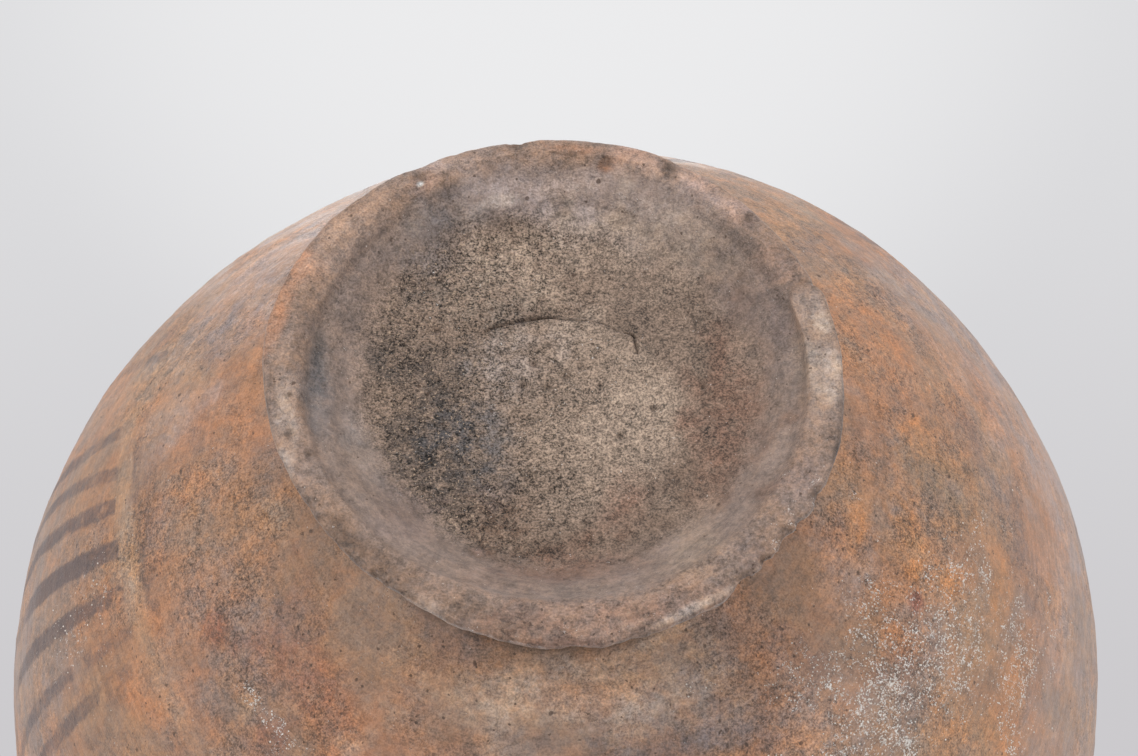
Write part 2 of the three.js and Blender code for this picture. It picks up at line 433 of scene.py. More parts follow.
@dataclass(frozen=True)
class Knock:
    """A pit, chip or dark hole: where it is, how far it reaches and how deep it goes."""

    azimuth: float
    radius: float
    height: float
    reach: float
    depth: float

    def place(self) -> np.ndarray:
        """The middle of the knock."""
        angle = math.radians(self.azimuth)
        return np.array([self.radius * math.cos(angle), self.radius * math.sin(angle), self.height])


KNOCKS = (
    Knock(341.3, 43.7, 1.2, 1.3, 0.7),
    Knock(357.0, 45.6, 0.3, 0.6, 0.4),
    Knock(347.5, 46.6, 0.2, 0.7, 0.4),
    Knock(109, 6.1, 9.2, 0.8, 0.45),
    Knock(122, 9.1, 9.2, 0.8, 0.4),
    Knock(67, 9.1, 9.2, 0.7, 0.5),
    Knock(75, 3.8, 9.2, 0.6, 0.45),
    Knock(37, 6.9, 9.2, 0.8, 0.45),
    Knock(183, 17.4, 9.2, 0.7, 0.45),
    Knock(209, 12.9, 9.2, 0.8, 0.5),
    Knock(154, 8.9, 9.2, 0.5, 0.35),
    Knock(173, 26.3, 8.9, 0.7, 0.5),
    Knock(36, 26, 8.9, 0.9, 0.5),
    Knock(330, 49.6, 1.5, 1.6, 0.8),
    Knock(326, 49.8, 2.0, 1.2, 0.9),
    Knock(322, 49.6, 1.8, 1.7, 0.7),
    Knock(316, 49.8, 1.5, 1.2, 0.8),
    Knock(309, 49.8, 1.8, 1.8, 0.9),
    Knock(304, 49.3, 1.2, 1.3, 0.8),
    Knock(300, 49.9, 2.2, 1.1, 0.6),
    Knock(231, 49.6, 1.8, 2.2, 1.0),
    Knock(225, 49.8, 1.6, 1.5, 0.8),
    Knock(219, 49.7, 1.4, 1.8, 1.0),
    Knock(214, 49.8, 2.0, 1.2, 0.9),
    Knock(207, 49.6, 1.5, 1.4, 0.8),
    Knock(61, 48.6, 0.6, 1.6, 0.5),
    Knock(83, 49.4, 1.4, 1.5, 0.6),
    Knock(102, 46.2, 1.0, 1.0, 0.4),
    Knock(116, 48.2, 0.8, 1.8, 0.5),
    Knock(137, 47.6, 0.6, 1.5, 0.5),
)

CRACK = (
    (12.4, 15.0),
    (11.3, 15.9),
    (8.4, 16.8),
    (6.0, 17.3),
    (3.6, 17.7),
    (1.2, 17.9),
    (-1.1, 17.6),
    (-4.1, 17.2),
    (-6.5, 16.9),
    (-8.8, 16.3),
    (-10.9, 15.1),
    (-12.6, 14.4),
    (-14.1, 14.1),
    (-14.4, 12.0),
    (-14.8, 10.2),
)


@dataclass(frozen=True)
class Relief:
    """The heights and hollows that shaping, wiping, grit and wear left in the surface."""

    form: JarForm
    noise: Noise = Noise(7)
    crack_width: float = 0.2
    crack_depth: float = 0.65
    step: float = 0.35
    ditch_radius: float = 42.0
    ditch_depth: float = 0.75
    lap_radius: float = 46.7
    lap_width: float = 3.2
    lap_height: float = 0.6

    def hollow(self, places: np.ndarray) -> tuple[np.ndarray, np.ndarray]:
        """Gives radius and azimuth about the middle of the hollow, which is off the axis."""
        x = places[:, 0] - self.form.hollow_drift[0]
        y = places[:, 1] - self.form.hollow_drift[1]
        return np.hypot(x, y), np.degrees(np.arctan2(y, x))

    def rough(self, places: np.ndarray) -> np.ndarray:
        """How rough the floor of the hollow is: 1 on the unwiped floor and 0 on the slope."""
        radius = np.hypot(places[:, 0] + 1.8, places[:, 1] - 1.2)
        azimuth = np.degrees(np.arctan2(places[:, 1], places[:, 0]))
        ragged = 1.6 * self.noise.cloud(places, 9, 3) - 5.5 * bell(angle_from(azimuth, 52), 48)
        return 1 - smooth(radius + ragged, 29.5, 36.5)

    def crack(self, places: np.ndarray) -> tuple[np.ndarray, np.ndarray]:
        """How far each place is from the open seam round the far side of the disc.

        Args:
            places: Points in millimetres.

        Returns:
            The distances, and how far the points lie on the disc: 1 on it and 0 beyond it.
        """
        path = np.array(CRACK)
        nearest = np.full(len(places), 1e3)
        flat = places[:, :2]
        for start, end in zip(path, path[1:]):
            run = end - start
            share = np.clip((flat - start) @ run / (run @ run), 0, 1)
            nearest = np.minimum(nearest, np.linalg.norm(flat - start - share[:, None] * run, axis=1))
        away = np.linalg.norm(flat - np.array(self.form.disc_drift), axis=1)
        return nearest, 1 - smooth(away, self.form.disc_radius - 0.6, self.form.disc_radius - 0.1)

    def knocked(self, places: np.ndarray) -> tuple[np.ndarray, np.ndarray]:
        """How deep the pits and chips go at each place, and how far each place is inside one."""
        deep, inside = np.zeros(len(places)), np.zeros(len(places))
        for knock in KNOCKS:
            away = np.linalg.norm((places - knock.place()) * (1, 1, 0.3), axis=1)
            near = away < 2.5 * knock.reach
            if near.any():
                torn = away[near] * (1 + 0.35 * self.noise.single(places[near], 0.9))
                share = bell(torn, knock.reach)
                deep[near] += knock.depth * share
                inside[near] = np.maximum(inside[near], share)
        return deep, inside

    def lap(self, radius: np.ndarray, azimuth: np.ndarray) -> tuple[np.ndarray, np.ndarray]:
        """The tongue of clay where the tail of the lip's coil is drawn over its head.

        Args:
            radius: Distances from the middle of the hollow.
            azimuth: Azimuths about it, in degrees.

        Returns:
            How far each place lies from the tongue's edge, inwards below zero, and how plain the
            tongue still is there.
        """
        along = np.radians((azimuth - self.form.lap_start + 90) % 360 - 90) * self.lap_radius
        across = radius - self.lap_radius
        blunt = np.hypot(along - self.lap_width, across) - self.lap_width
        edge = np.where(along < self.lap_width, blunt, np.abs(across) - self.lap_width)
        length = math.radians(self.form.lap_length) * self.lap_radius
        return edge, 1 - smooth(along, 0.45 * length, length)

    def under(self, places: np.ndarray) -> np.ndarray:
        """Heights under the foot: grit, wiping, the ditch inside the lip, the lap and the crack."""
        radius, azimuth = self.hollow(places)
        rough = self.rough(places)
        grit = 0.2 * self.noise.cloud(places, 6, 2) + 0.12 * self.noise.cloud(places, 1.7, 3)
        turn = np.radians(azimuth)
        polar = np.stack([4 * np.cos(turn), 4 * np.sin(turn), radius], 1)
        wiped = 0.08 * self.noise.cloud(polar, 1.8, 2) * smooth(radius, 20, 34)
        lip = smooth(radius, 42, 45)
        near = 0.45 + 0.75 * bell(angle_from(azimuth, 262), 55)
        lumpy = lip * near * (0.28 * self.noise.cloud(places, 7, 2) + 0.18 * self.noise.cloud(places, 2.0, 3))
        side = 0.15 + 0.85 * bell(angle_from(azimuth, 345), 48) + 0.7 * bell(angle_from(azimuth, 188), 30)
        ditch = self.ditch_depth * side * bell(radius - self.ditch_radius, 1.2)
        roll = 0.3 * side * bell(radius - self.ditch_radius - 2.8, 1.8)
        edge, plain = self.lap(radius, azimuth)
        pad = self.lap_height * plain * (1 - smooth(edge, -1.1, 0.4))
        crease = 0.3 * plain * bell(edge - 0.6, 0.6)
        nearest, disc = self.crack(places)
        gap = self.crack_depth * bell(nearest, self.crack_width)
        raised = self.step * disc * bell(nearest, 5) - 0.3 * (1 - disc) * bell(nearest, 2.5)
        return rough * grit + (1 - rough) * wiped + lumpy - ditch + roll + pad - crease - gap + raised

    def height(self, places: np.ndarray, face: Face) -> np.ndarray:
        """Gives how far the surface stands out at each place.

        Args:
            places: Points in millimetres.
            face: The side of the wall that they lie on.

        Returns:
            The heights in millimetres, inwards below zero.
        """
        lumps = 0.18 * self.noise.cloud(places, 13, 2) + 0.07 * self.noise.cloud(places, 4, 2)
        lumps += smooth(places[:, 2], 16, 30) * 0.45 * self.noise.cloud(places, 38, 2)
        if face is Face.INNER:
            return 0.7 * lumps
        lumps -= self.knocked(places)[0]
        if face is Face.OUTER:
            return lumps + 0.06 * self.noise.cloud(places, 1.8, 2)
        return lumps + self.under(places)


@dataclass(frozen=True)
class Stain:
    """A patch of another colour, with soft ragged edges.

    Its middle is at an azimuth, radius and height, and it reaches so many millimetres round and
    along the jar.
    """

    clay: Clay
    azimuth: float
    radius: float
    height: float
    around: float
    along: float
    strength: float

    def mask(self, places: np.ndarray, ragged: np.ndarray) -> np.ndarray:
        """Gives how much of the stain lies at each place.

        Args:
            places: Points in millimetres.
            ragged: Noise that tears the edge.

        Returns:
            Shares from 0 to the stain's strength.
        """
        angle = math.radians(self.azimuth)
        out = np.array([math.cos(angle), math.sin(angle), 0])
        round_it = np.array([-out[1], out[0], 0])
        offset = places - (out * self.radius + np.array([0, 0, self.height]))
        around = offset @ round_it
        along = np.sqrt(np.maximum((offset**2).sum(1) - around**2, 0))
        away = np.hypot(around / self.around, along / self.along) * (1 + 0.65 * ragged)
        return self.strength * (1 - smooth(away, 0.3, 1.3))


UNDER_STAINS = (
    Stain(Clay.BLUE_GREY, 54, 38, 8, 10, 9, 0.45),
    Stain(Clay.BLUE_GREY, 64, 42, 5, 9, 5, 0.5),
    Stain(Clay.HAZE_AND_SHEEN, 100, 40, 5, 32, 6.5, 0.75),
    Stain(Clay.BEIGE, 125, 40, 5, 12, 6, 0.6),
    Stain(Clay.SOOT, 340, 22, 9, 12, 9, 0.8),
    Stain(Clay.SOOT, 318, 24, 9, 9, 8, 0.65),
    Stain(Clay.SOOT, 6, 21, 9, 9, 8, 0.65),
    Stain(Clay.SOOT, 21, 25, 9, 8, 7, 0.45),
    Stain(Clay.SOOT, 50, 28, 9, 7, 6, 0.2),
    Stain(Clay.SOOT, 62, 25, 9, 5, 4, 0.4),
    Stain(Clay.BLUE_BLACK, 340, 16, 9, 8, 6, 0.45),
    Stain(Clay.BLUE_BLACK, 323, 17, 9, 6.6, 7, 0.35),
    Stain(Clay.BLUE_BLACK, 10, 20, 9, 8, 5.4, 0.25),
    Stain(Clay.SOOT, 48, 32, 9, 4.6, 4.4, 0.5),
    Stain(Clay.SOOT, 66, 21, 9, 4.9, 2.9, 0.5),
    Stain(Clay.SOOT, 30, 31, 9, 4.7, 4, 0.2),
    Stain(Clay.SOOT, 92, 32, 9, 5.4, 4.1, 0.3),
    Stain(Clay.UMBER, 292, 26, 9, 9, 6.5, 0.9),
    Stain(Clay.UMBER, 270, 30, 9, 14, 5, 0.8),
    Stain(Clay.RUSSET, 239, 23, 9, 6.1, 5.9, 0.5),
    Stain(Clay.UMBER, 212, 29, 9, 8.4, 7.4, 0.55),
    Stain(Clay.UMBER, 237, 30, 9, 9, 6.3, 0.55),
    Stain(Clay.BEIGE, 181, 16, 9, 12, 10.5, 0.65),
    Stain(Clay.ASH, 40, 11, 9, 8, 8, 0.45),
    Stain(Clay.BLUE_GREY, 333, 15, 9, 9, 6.4, 0.35),
    Stain(Clay.BEIGE, 263, 7, 9, 7.8, 6.9, 0.3),
    Stain(Clay.UMBER, 176, 30, 9, 17, 7.4, 0.6),
    Stain(Clay.BEIGE, 92, 31, 9, 24, 8, 0.5),
    Stain(Clay.BEIGE, 66, 28, 9, 14, 8, 0.45),
    Stain(Clay.RUSSET, 169, 24, 9, 4.9, 2.8, 0.3),
    Stain(Clay.RUSSET, 184, 31, 9, 18, 7.4, 0.45),
    Stain(Clay.RUSSET, 264, 33, 9, 14, 5, 0.4),
    Stain(Clay.MAUVE_DARK, 162, 42, 3, 6.6, 2.6, 0.6),
    Stain(Clay.BEIGE, 165, 36, 8, 6.6, 2.4, 0.4),
    Stain(Clay.BEIGE, 95, 22, 9, 4.5, 2.7, 0.35),
    # Dark blue-grey in the ditch inside the left lip: partly the clay's colour, partly painted shade in the groove.
    Stain(Clay.BLUE_BLACK, 2, 42.2, 4, 15, 2.8, 0.8),
    Stain(Clay.BLUE_GREY, 0, 41, 4, 22, 4.0, 0.7),
    Stain(Clay.BLUE_GREY, 330, 42.2, 4, 16, 1.8, 0.8),
    Stain(Clay.BLUE_BLACK, 12, 42.5, 4, 8, 2.4, 0.6),
    Stain(Clay.BLUE_BLACK, 350, 42.4, 4, 9, 2.2, 0.65),
    Stain(Clay.ASH, 346, 37, 8, 10.6, 4.5, 0.5),
    Stain(Clay.MAUVE, 316, 37, 7, 6.8, 9, 0.4),
    Stain(Clay.BEIGE, 232, 39, 7, 6.9, 9, 0.45),
    Stain(Clay.MAUVE, 253, 38, 8, 8.9, 4, 0.35),
    Stain(Clay.MAUVE, 289, 39, 6, 12, 4, 0.35),
    Stain(Clay.RUSSET, 149, 46, 1, 5.5, 4, 0.25),
    Stain(Clay.MAUVE_DARK, 150, 39, 6, 4.8, 3.9, 0.25),
    Stain(Clay.TERRACOTTA, 18, 50, 1, 20, 2.6, 0.7),
    Stain(Clay.TERRACOTTA, 28, 50, 1, 6.1, 3.5, 0.6),
    Stain(Clay.TAN, 30, 47, 0, 12, 4.8, 0.4),
    # Pale patch on the left lip's roll: a painted highlight.
    Stain(Clay.CHALK, 353, 46.5, 0, 10, 2.4, 0.35),
    Stain(Clay.TAN, 8, 47, 0, 5.9, 1.3, 0.3),
    Stain(Clay.BROWN, 346, 48, 0, 3.3, 2.1, 0.5),
    Stain(Clay.CHALK, 341, 49, 1, 3, 2, 0.35),
    Stain(Clay.BROWN, 333, 48, 1, 4.2, 3, 0.4),
    Stain(Clay.SOOT, 325, 49.5, 2, 5.6, 1.3, 0.5),
    Stain(Clay.SOOT, 304, 48.5, 1, 2.4, 1.6, 0.5),
    Stain(Clay.UMBER, 316, 47, 0, 17, 4.2, 0.6),
    Stain(Clay.UMBER, 306, 46, 0, 20, 5, 0.4),
    Stain(Clay.ASH, 296, 48, 0, 4.9, 2.8, 0.4),
    Stain(Clay.UMBER, 282, 46, 0, 14, 3.6, 0.45),
    # Reddish-dark line on the near lip's outer edge: partly the clay's colour, partly painted shadow.
    Stain(Clay.RUSSET, 270, 49.6, 1, 12.3, 1.4, 0.55),
    Stain(Clay.RUSSET, 262, 46, 0, 28, 4.5, 0.4),
    Stain(Clay.ASH, 260, 43, 4, 9.7, 4, 0.3),
    # Pale line along the near lip's edge: chalky colour and a painted highlight.
    Stain(Clay.CHALK, 243, 49.2, 0, 10, 1.0, 0.5),
    Stain(Clay.BLUE_GREY, 251, 44, 3, 3.1, 3.3, 0.5),
    Stain(Clay.MAUVE_DARK, 226, 47, 0, 3.4, 3.3, 0.55),
    Stain(Clay.MAUVE_DARK, 236, 49, 0, 3.1, 2.3, 0.3),
    # Dark band outside the right lip: painted shadow.
    Stain(Clay.SOOT, 194, 50, 1, 9, 1.5, 0.7),
    Stain(Clay.MAUVE, 205, 46, 0, 5.3, 3.3, 0.45),
    Stain(Clay.CHALK, 167, 48, 0, 3.9, 2.2, 0.6),
    Stain(Clay.BEIGE, 175, 44, 1, 5.5, 2.9, 0.45),
    Stain(Clay.CHALK, 179, 48, 0, 5, 1.3, 0.4),
    Stain(Clay.ROSE, 135, 48, 0, 4.5, 3, 0.6),
    Stain(Clay.ROSE, 124, 48, 0, 3.9, 2.5, 0.55),
    Stain(Clay.CHALK, 108, 44, 3, 1.5, 2.6, 0.5),
    Stain(Clay.TAN, 92, 47, 0, 12, 2.5, 0.4),
    Stain(Clay.BROWN, 95, 49, 0, 34, 3.4, 0.5),
    Stain(Clay.TERRACOTTA, 102, 46, 1, 1.2, 1.2, 0.9),
    Stain(Clay.TERRACOTTA, 96, 48, 0, 8.1, 1.3, 0.3),
    Stain(Clay.ROSE, 109, 48, 0, 4.6, 3, 0.35),
    Stain(Clay.MAUVE_DARK, 113, 44, 3, 5.5, 2, 0.3),
    Stain(Clay.CHALK, 77, 41, 5, 4.5, 1.5, 0.5),
    Stain(Clay.ROSE, 61, 47, 0, 3.2, 2.1, 0.5),
    Stain(Clay.TAN, 45, 47, 0, 10, 4, 0.5),
    Stain(Clay.WHITE, 60, 47, 0, 0.8, 0.6, 1.0),
)

BODY_STAINS = (
    # The pale haze patches here, at 161 and at 145 degrees are painted sheen where the light grazes the flanks.
    Stain(Clay.HAZE_AND_SHEEN, 55, 74, 44, 12, 25, 0.6),
    Stain(Clay.HAZE_AND_SHEEN, 44, 72, 41, 10, 20, 0.5),
    Stain(Clay.HAZE_AND_SHEEN, 31, 71, 39, 14.3, 18, 0.5),
    Stain(Clay.MAUVE, 28, 72, 40, 7.8, 17, 0.35),
    Stain(Clay.ROSE, 41, 78, 48, 10, 18, 0.35),
    Stain(Clay.BUFF, 22, 82, 51, 8.9, 15.7, 0.4),
    Stain(Clay.TERRACOTTA, 17, 60, 31, 11.4, 11.6, 0.45),
    Stain(Clay.TERRACOTTA, 6, 60, 30, 8.9, 11, 0.4),
    Stain(Clay.ROSE, 13, 70, 39, 7.3, 5.6, 0.35),
    Stain(Clay.ASH, 12, 76, 44, 10, 8.8, 0.45),
    Stain(Clay.BUFF, 355, 79, 47, 24.8, 3.7, 0.6),
    Stain(Clay.RUSSET, 356, 75.5, 43, 15, 4.5, 0.6),
    Stain(Clay.MAUVE, 354, 73, 41, 6.3, 5.5, 0.4),
    Stain(Clay.RUSSET, 349, 76, 44, 3.4, 4, 0.4),
    Stain(Clay.BROWN, 352, 56, 29, 7.7, 9.6, 0.35),
    Stain(Clay.BUFF, 345, 51, 26, 5.6, 3.2, 0.4),
    Stain(Clay.TERRACOTTA, 340, 56, 28, 5.5, 4.3, 0.4),
    Stain(Clay.MAUVE, 343, 62, 32, 4.1, 4.3, 0.3),
    Stain(Clay.RUSSET, 334, 68, 37, 4.8, 5.2, 0.8),
    Stain(Clay.TERRACOTTA, 343, 72, 41, 14, 10, 0.4),
    Stain(Clay.RED, 335, 68, 37, 3.5, 3.1, 0.45),
    Stain(Clay.RED, 320, 59, 31, 9.8, 9.6, 0.4),
    Stain(Clay.RED, 306, 63, 34, 12.5, 9.7, 0.35),
    Stain(Clay.RED, 316, 71, 40, 5.6, 5.9, 0.4),
    Stain(Clay.TERRACOTTA, 340, 79, 47, 10, 9, 0.55),
    Stain(Clay.TERRACOTTA, 332, 81, 50, 5.7, 6.5, 0.7),
    Stain(Clay.TERRACOTTA, 325, 78, 47, 5.7, 6.6, 0.5),
    Stain(Clay.BROWN, 322, 71, 40, 6.2, 6.6, 0.5),
    Stain(Clay.BUFF, 322, 70, 39, 3.5, 3.5, 0.5),
    Stain(Clay.MAUVE, 346, 97, 73, 9.1, 11.3, 0.4),
    Stain(Clay.MAUVE, 359, 93, 66, 7.3, 14, 0.3),
    Stain(Clay.BROWN, 328, 53, 27, 6.9, 6.2, 0.3),
    # Buff and chalk patches beside the near lip: painted light that lifts the body out of the lip's shade.
    Stain(Clay.BUFF, 272, 51, 25, 38, 9, 0.7),
    Stain(Clay.BUFF, 306, 49, 25, 9.2, 7.4, 0.5),
    Stain(Clay.CHALK, 266, 48, 24, 34, 8, 0.4),
    Stain(Clay.BUFF, 290, 50, 25, 11, 6, 0.5),
    Stain(Clay.BROWN, 307, 53, 27, 4.3, 3.8, 0.35),
    Stain(Clay.BROWN, 289, 56, 28, 5.1, 3.7, 0.35),
    Stain(Clay.MAUVE_DARK, 273, 55, 28, 9.4, 3, 0.5),
    Stain(Clay.PLUM, 256, 60, 31, 14.4, 4.5, 0.5),
    Stain(Clay.PLUM, 243, 55, 28, 15.6, 8.5, 0.15),
    Stain(Clay.BLUE_GREY, 248, 60, 31, 10, 5.3, 0.3),
    # These buff patches beside the near lip are painted light too, against the lip's shade.
    Stain(Clay.BUFF, 250, 46, 23, 10.8, 4.4, 0.55),
    Stain(Clay.BUFF, 238, 47, 23, 5, 4, 0.5),
    Stain(Clay.TERRACOTTA, 266, 49, 24, 10.2, 2.7, 0.35),
    Stain(Clay.TERRACOTTA, 228, 50, 25, 4.3, 4, 0.4),
    Stain(Clay.RUSSET, 224, 56, 29, 5.3, 5.1, 0.5),
    Stain(Clay.ROSE, 226, 64, 35, 13, 10, 0.4),
    Stain(Clay.PLUM, 237, 64, 34, 8.3, 5.9, 0.3),
    Stain(Clay.RUSSET, 221, 60, 31, 4.4, 4.4, 0.4),
    Stain(Clay.ROSE, 207, 58, 30, 8.1, 6.7, 0.35),
    Stain(Clay.TERRACOTTA, 156, 67, 35, 15.6, 14, 0.5),
    Stain(Clay.TERRACOTTA, 175, 58, 30, 10.6, 6.3, 0.4),
    Stain(Clay.AMBER, 173, 68, 37, 4.3, 5.8, 0.7),
    Stain(Clay.AMBER, 196, 56, 29, 5.5, 2.7, 0.75),
    Stain(Clay.AMBER, 192, 67, 37, 4.8, 5.5, 0.8),
    Stain(Clay.AMBER, 197, 67, 37, 3, 2.9, 0.8),
    Stain(Clay.AMBER, 195, 74, 43, 4.3, 4.7, 0.65),
    Stain(Clay.AMBER, 191, 84, 55, 10.3, 4.1, 0.7),
    Stain(Clay.AMBER, 199, 90, 64, 7.6, 6.6, 0.6),
    Stain(Clay.AMBER, 207, 92, 66, 7.2, 10.5, 0.7),
    Stain(Clay.AMBER, 210, 83, 54, 6.3, 6.9, 0.4),
    Stain(Clay.TERRACOTTA, 159, 70, 38, 19.2, 13.5, 0.3),
    Stain(Clay.OLIVE, 179, 68, 37, 5.5, 11, 0.4),
    Stain(Clay.OLIVE, 181, 75, 44, 10, 9.3, 0.3),
    Stain(Clay.OLIVE, 200, 79, 50, 8, 8.5, 0.35),
    Stain(Clay.OLIVE, 207, 88, 60, 5.1, 6.5, 0.4),
    Stain(Clay.RED, 201, 69, 39, 3.1, 2.4, 0.95),
    Stain(Clay.RUSSET, 214, 69, 39, 4.4, 4.1, 0.5),
    Stain(Clay.RUSSET, 210, 72, 41, 3.1, 2.8, 0.4),
    Stain(Clay.MAUVE, 203, 68, 38, 3.1, 3.3, 0.3),
    Stain(Clay.HAZE_AND_SHEEN, 161, 96, 69, 26, 28, 0.3),
    Stain(Clay.MAUVE, 178, 84, 54, 8.6, 9.4, 0.4),
    Stain(Clay.MAUVE, 184, 89, 61, 7.5, 8.9, 0.35),
    Stain(Clay.ROSE, 186, 99, 78, 17.9, 10.1, 0.4),
    Stain(Clay.TERRACOTTA, 181, 95, 70, 9.3, 7.7, 0.35),
    Stain(Clay.ASH, 216, 73, 43, 8, 8.6, 0.35),
    Stain(Clay.ASH, 204, 74, 44, 7.2, 6.7, 0.4),
    Stain(Clay.ASH, 201, 58, 30, 4.5, 5, 0.3),
    Stain(Clay.BUFF, 129, 72, 40, 6.6, 21.2, 0.45),
    Stain(Clay.BROWN, 138, 68, 37, 22, 16, 0.3),
    Stain(Clay.BUFF, 142, 69, 37, 7.5, 16.7, 0.35),
    Stain(Clay.HAZE_AND_SHEEN, 145, 93, 64, 20.5, 30, 0.4),
    Stain(Clay.TERRACOTTA, 158, 85, 54, 12.6, 15.4, 0.35),
    Stain(Clay.TERRACOTTA, 146, 63, 32, 6.8, 7.7, 0.4),
    Stain(Clay.BROWN, 176, 59, 31, 6.5, 5.1, 0.35),
    Stain(Clay.ROSE, 164, 102, 82, 21, 20, 0.35),
)

LIME = (
    Stain(Clay.WHITE, 203, 77, 47, 20, 16, 0.85),
    Stain(Clay.WHITE, 217, 72, 42, 18, 14, 1.0),
    Stain(Clay.WHITE, 210, 64, 35, 14, 10, 0.8),
    Stain(Clay.WHITE, 196, 90, 63, 16, 14, 0.75),
    Stain(Clay.WHITE, 226, 60, 32, 10, 8, 0.6),
    Stain(Clay.WHITE, 318, 69, 38, 9, 2.4, 0.8),
    Stain(Clay.WHITE, 349, 92, 66, 9, 12, 0.4),
    Stain(Clay.WHITE, 262, 47, 2, 14, 3, 0.5),
    Stain(Clay.WHITE, 215, 48, 1, 14, 2.5, 0.4),
)


@dataclass(frozen=True)
class Bar:
    """One upright brush bar of the painted band, from its top at the belt down to its tail."""

    azimuth: float
    skew: float
    width: float
    strength: float
    start: float = 82.3
    end: float = 105.0


SEEN_BARS = (
    Bar(13.7, 0.4, 3.8, 0.85, 85.0, 102.0),
    Bar(7.1, 2.6, 3.6, 0.95, 83.5, 98.0),
    Bar(2.2, 2.8, 4.0, 1.0, 83.2, 102.0),
    Bar(355.6, 4.4, 4.8, 1.0, 82.0, 107.0),
    Bar(349.0, 5.0, 4.4, 0.85, 81.4, 107.0),
    Bar(343.3, 3.9, 3.8, 0.8, 81.6, 106.0),
    Bar(338.7, 3.2, 4.2, 0.8, 81.8, 105.0),
    Bar(332.0, 3.4, 3.4, 0.5, 83.0, 105.0),
)


@dataclass(frozen=True)
class Painting:
    """The painted band: a thin belt with bars running from it to a second belt at the belly."""

    form: JarForm
    noise: Noise = Noise(23)
    belt_radius: float = 78.2
    belt_wander: float = 0.14
    belly_belt: float = 112.0
    belly_belt_width: float = 2.6
    shoulder_belts: tuple[float, ...] = (178.0, 185.0)
    shoulder_belt_width: float = 3.0
    bar_step: float = 6.4

    def bars(self) -> list[Bar]:
        """Gives the bars that the photograph shows, and as many like them round the rest."""
        rows = list(SEEN_BARS)
        turn = 325.4
        index = 0
        while turn > 20:
            wander = 0.7 * math.sin(2.7 * index) + 0.5 * math.sin(5.1 * index + 1)
            strength = 0.66 + 0.25 * math.sin(1.9 * index + 0.5)
            rows.append(Bar(turn + wander, 2.5 + 2.0 * math.sin(0.8 * index), 3.9, strength))
            turn -= self.bar_step
            index += 1
        return rows

    def wear(self, azimuth: np.ndarray) -> np.ndarray:
        """How much paint is left at each azimuth: it is rubbed away on the right and far left."""
        rubbed = 0.94 * bell(angle_from(azimuth, 176), 40) + 0.7 * bell(angle_from(azimuth, 42), 20)
        return np.clip(1 - rubbed, 0, 1)

    def off_belt(self, places: np.ndarray, rounds: np.ndarray) -> np.ndarray:
        """How far outside the belt's outer edge each place lies; it climbs a little to the left."""
        radius = np.hypot(places[:, 0], places[:, 1])
        azimuth = np.degrees(np.arctan2(places[:, 1], places[:, 0]))
        climb = self.belt_wander * np.clip(angle_from(azimuth, 355), -8, 20)
        low = rounds[:, 1] < self.form.belly_height
        return np.where(low, radius, 999) - self.belt_radius - climb - 0.3 * self.noise.cloud(places, 17, 2)

    def amount(self, places: np.ndarray, rounds: np.ndarray) -> np.ndarray:
        """Gives how thick the paint lies at each place.

        Args:
            places: Points on the outside, in millimetres, after the hand's unevenness.
            rounds: Radius and height of the same points on the even profile.

        Returns:
            Shares from 0 to 1.
        """
        azimuth = np.degrees(np.arctan2(places[:, 1], places[:, 0])) % 360
        radius = np.hypot(places[:, 0], places[:, 1])
        height = rounds[:, 1]
        low = height < self.form.belly_height
        torn = self.noise.cloud(places, 3.2, 3)
        broad = self.noise.cloud(places, 17, 2)
        line = self.off_belt(places, rounds)
        smeared = (0.3 + 0.7 * bell(line + 0.6, 1.3)) * (1 - smooth(-line, 2.2, 7))
        belt = np.where(line > -0.6, 1, smeared) * (1 - smooth(line + 0.35 * torn, 0.4, 1.3))
        total = 0.95 * belt * (0.25 + 0.75 * bell(angle_from(azimuth, 357), 17)) * smooth(torn, -1.3, 0.1)
        belts = [(self.belly_belt, self.belly_belt_width)]
        belts += [(mark, self.shoulder_belt_width) for mark in self.shoulder_belts]
        for mark, width in belts:
            away = np.abs(height - mark - 0.9 * broad) + 0.25 * torn
            total = np.maximum(total, 0.8 * (1 - smooth(away, 0.3 * width, 0.75 * width)))
        for bar in self.bars():
            share = np.clip((radius - bar.start) / (bar.end - bar.start), 0, 1)
            middle = bar.azimuth + bar.skew * share
            across = np.abs(np.radians(angle_from(azimuth, middle))) * radius + 0.3 * torn
            body = 1 - smooth(across, 0.34 * bar.width, 0.62 * bar.width)
            ends = smooth(radius + 0.6 * torn, bar.start - 0.6, bar.start + 0.4)
            tail = smooth(height, self.belly_belt + 1, self.belly_belt - 1)
            left = smooth(0.8 * torn + 0.5 * broad + 1.5 * bar.strength, 0.1, 1.0)
            total = np.maximum(total, np.where(low, bar.strength * body * ends * tail * left, 0))
        return np.clip(total * self.wear(azimuth) * (0.85 + 0.3 * broad), 0, 1)


MASKS = ("grit", "mottle", "crumb", "pepper", "hue", "paint", "lime", "polish")


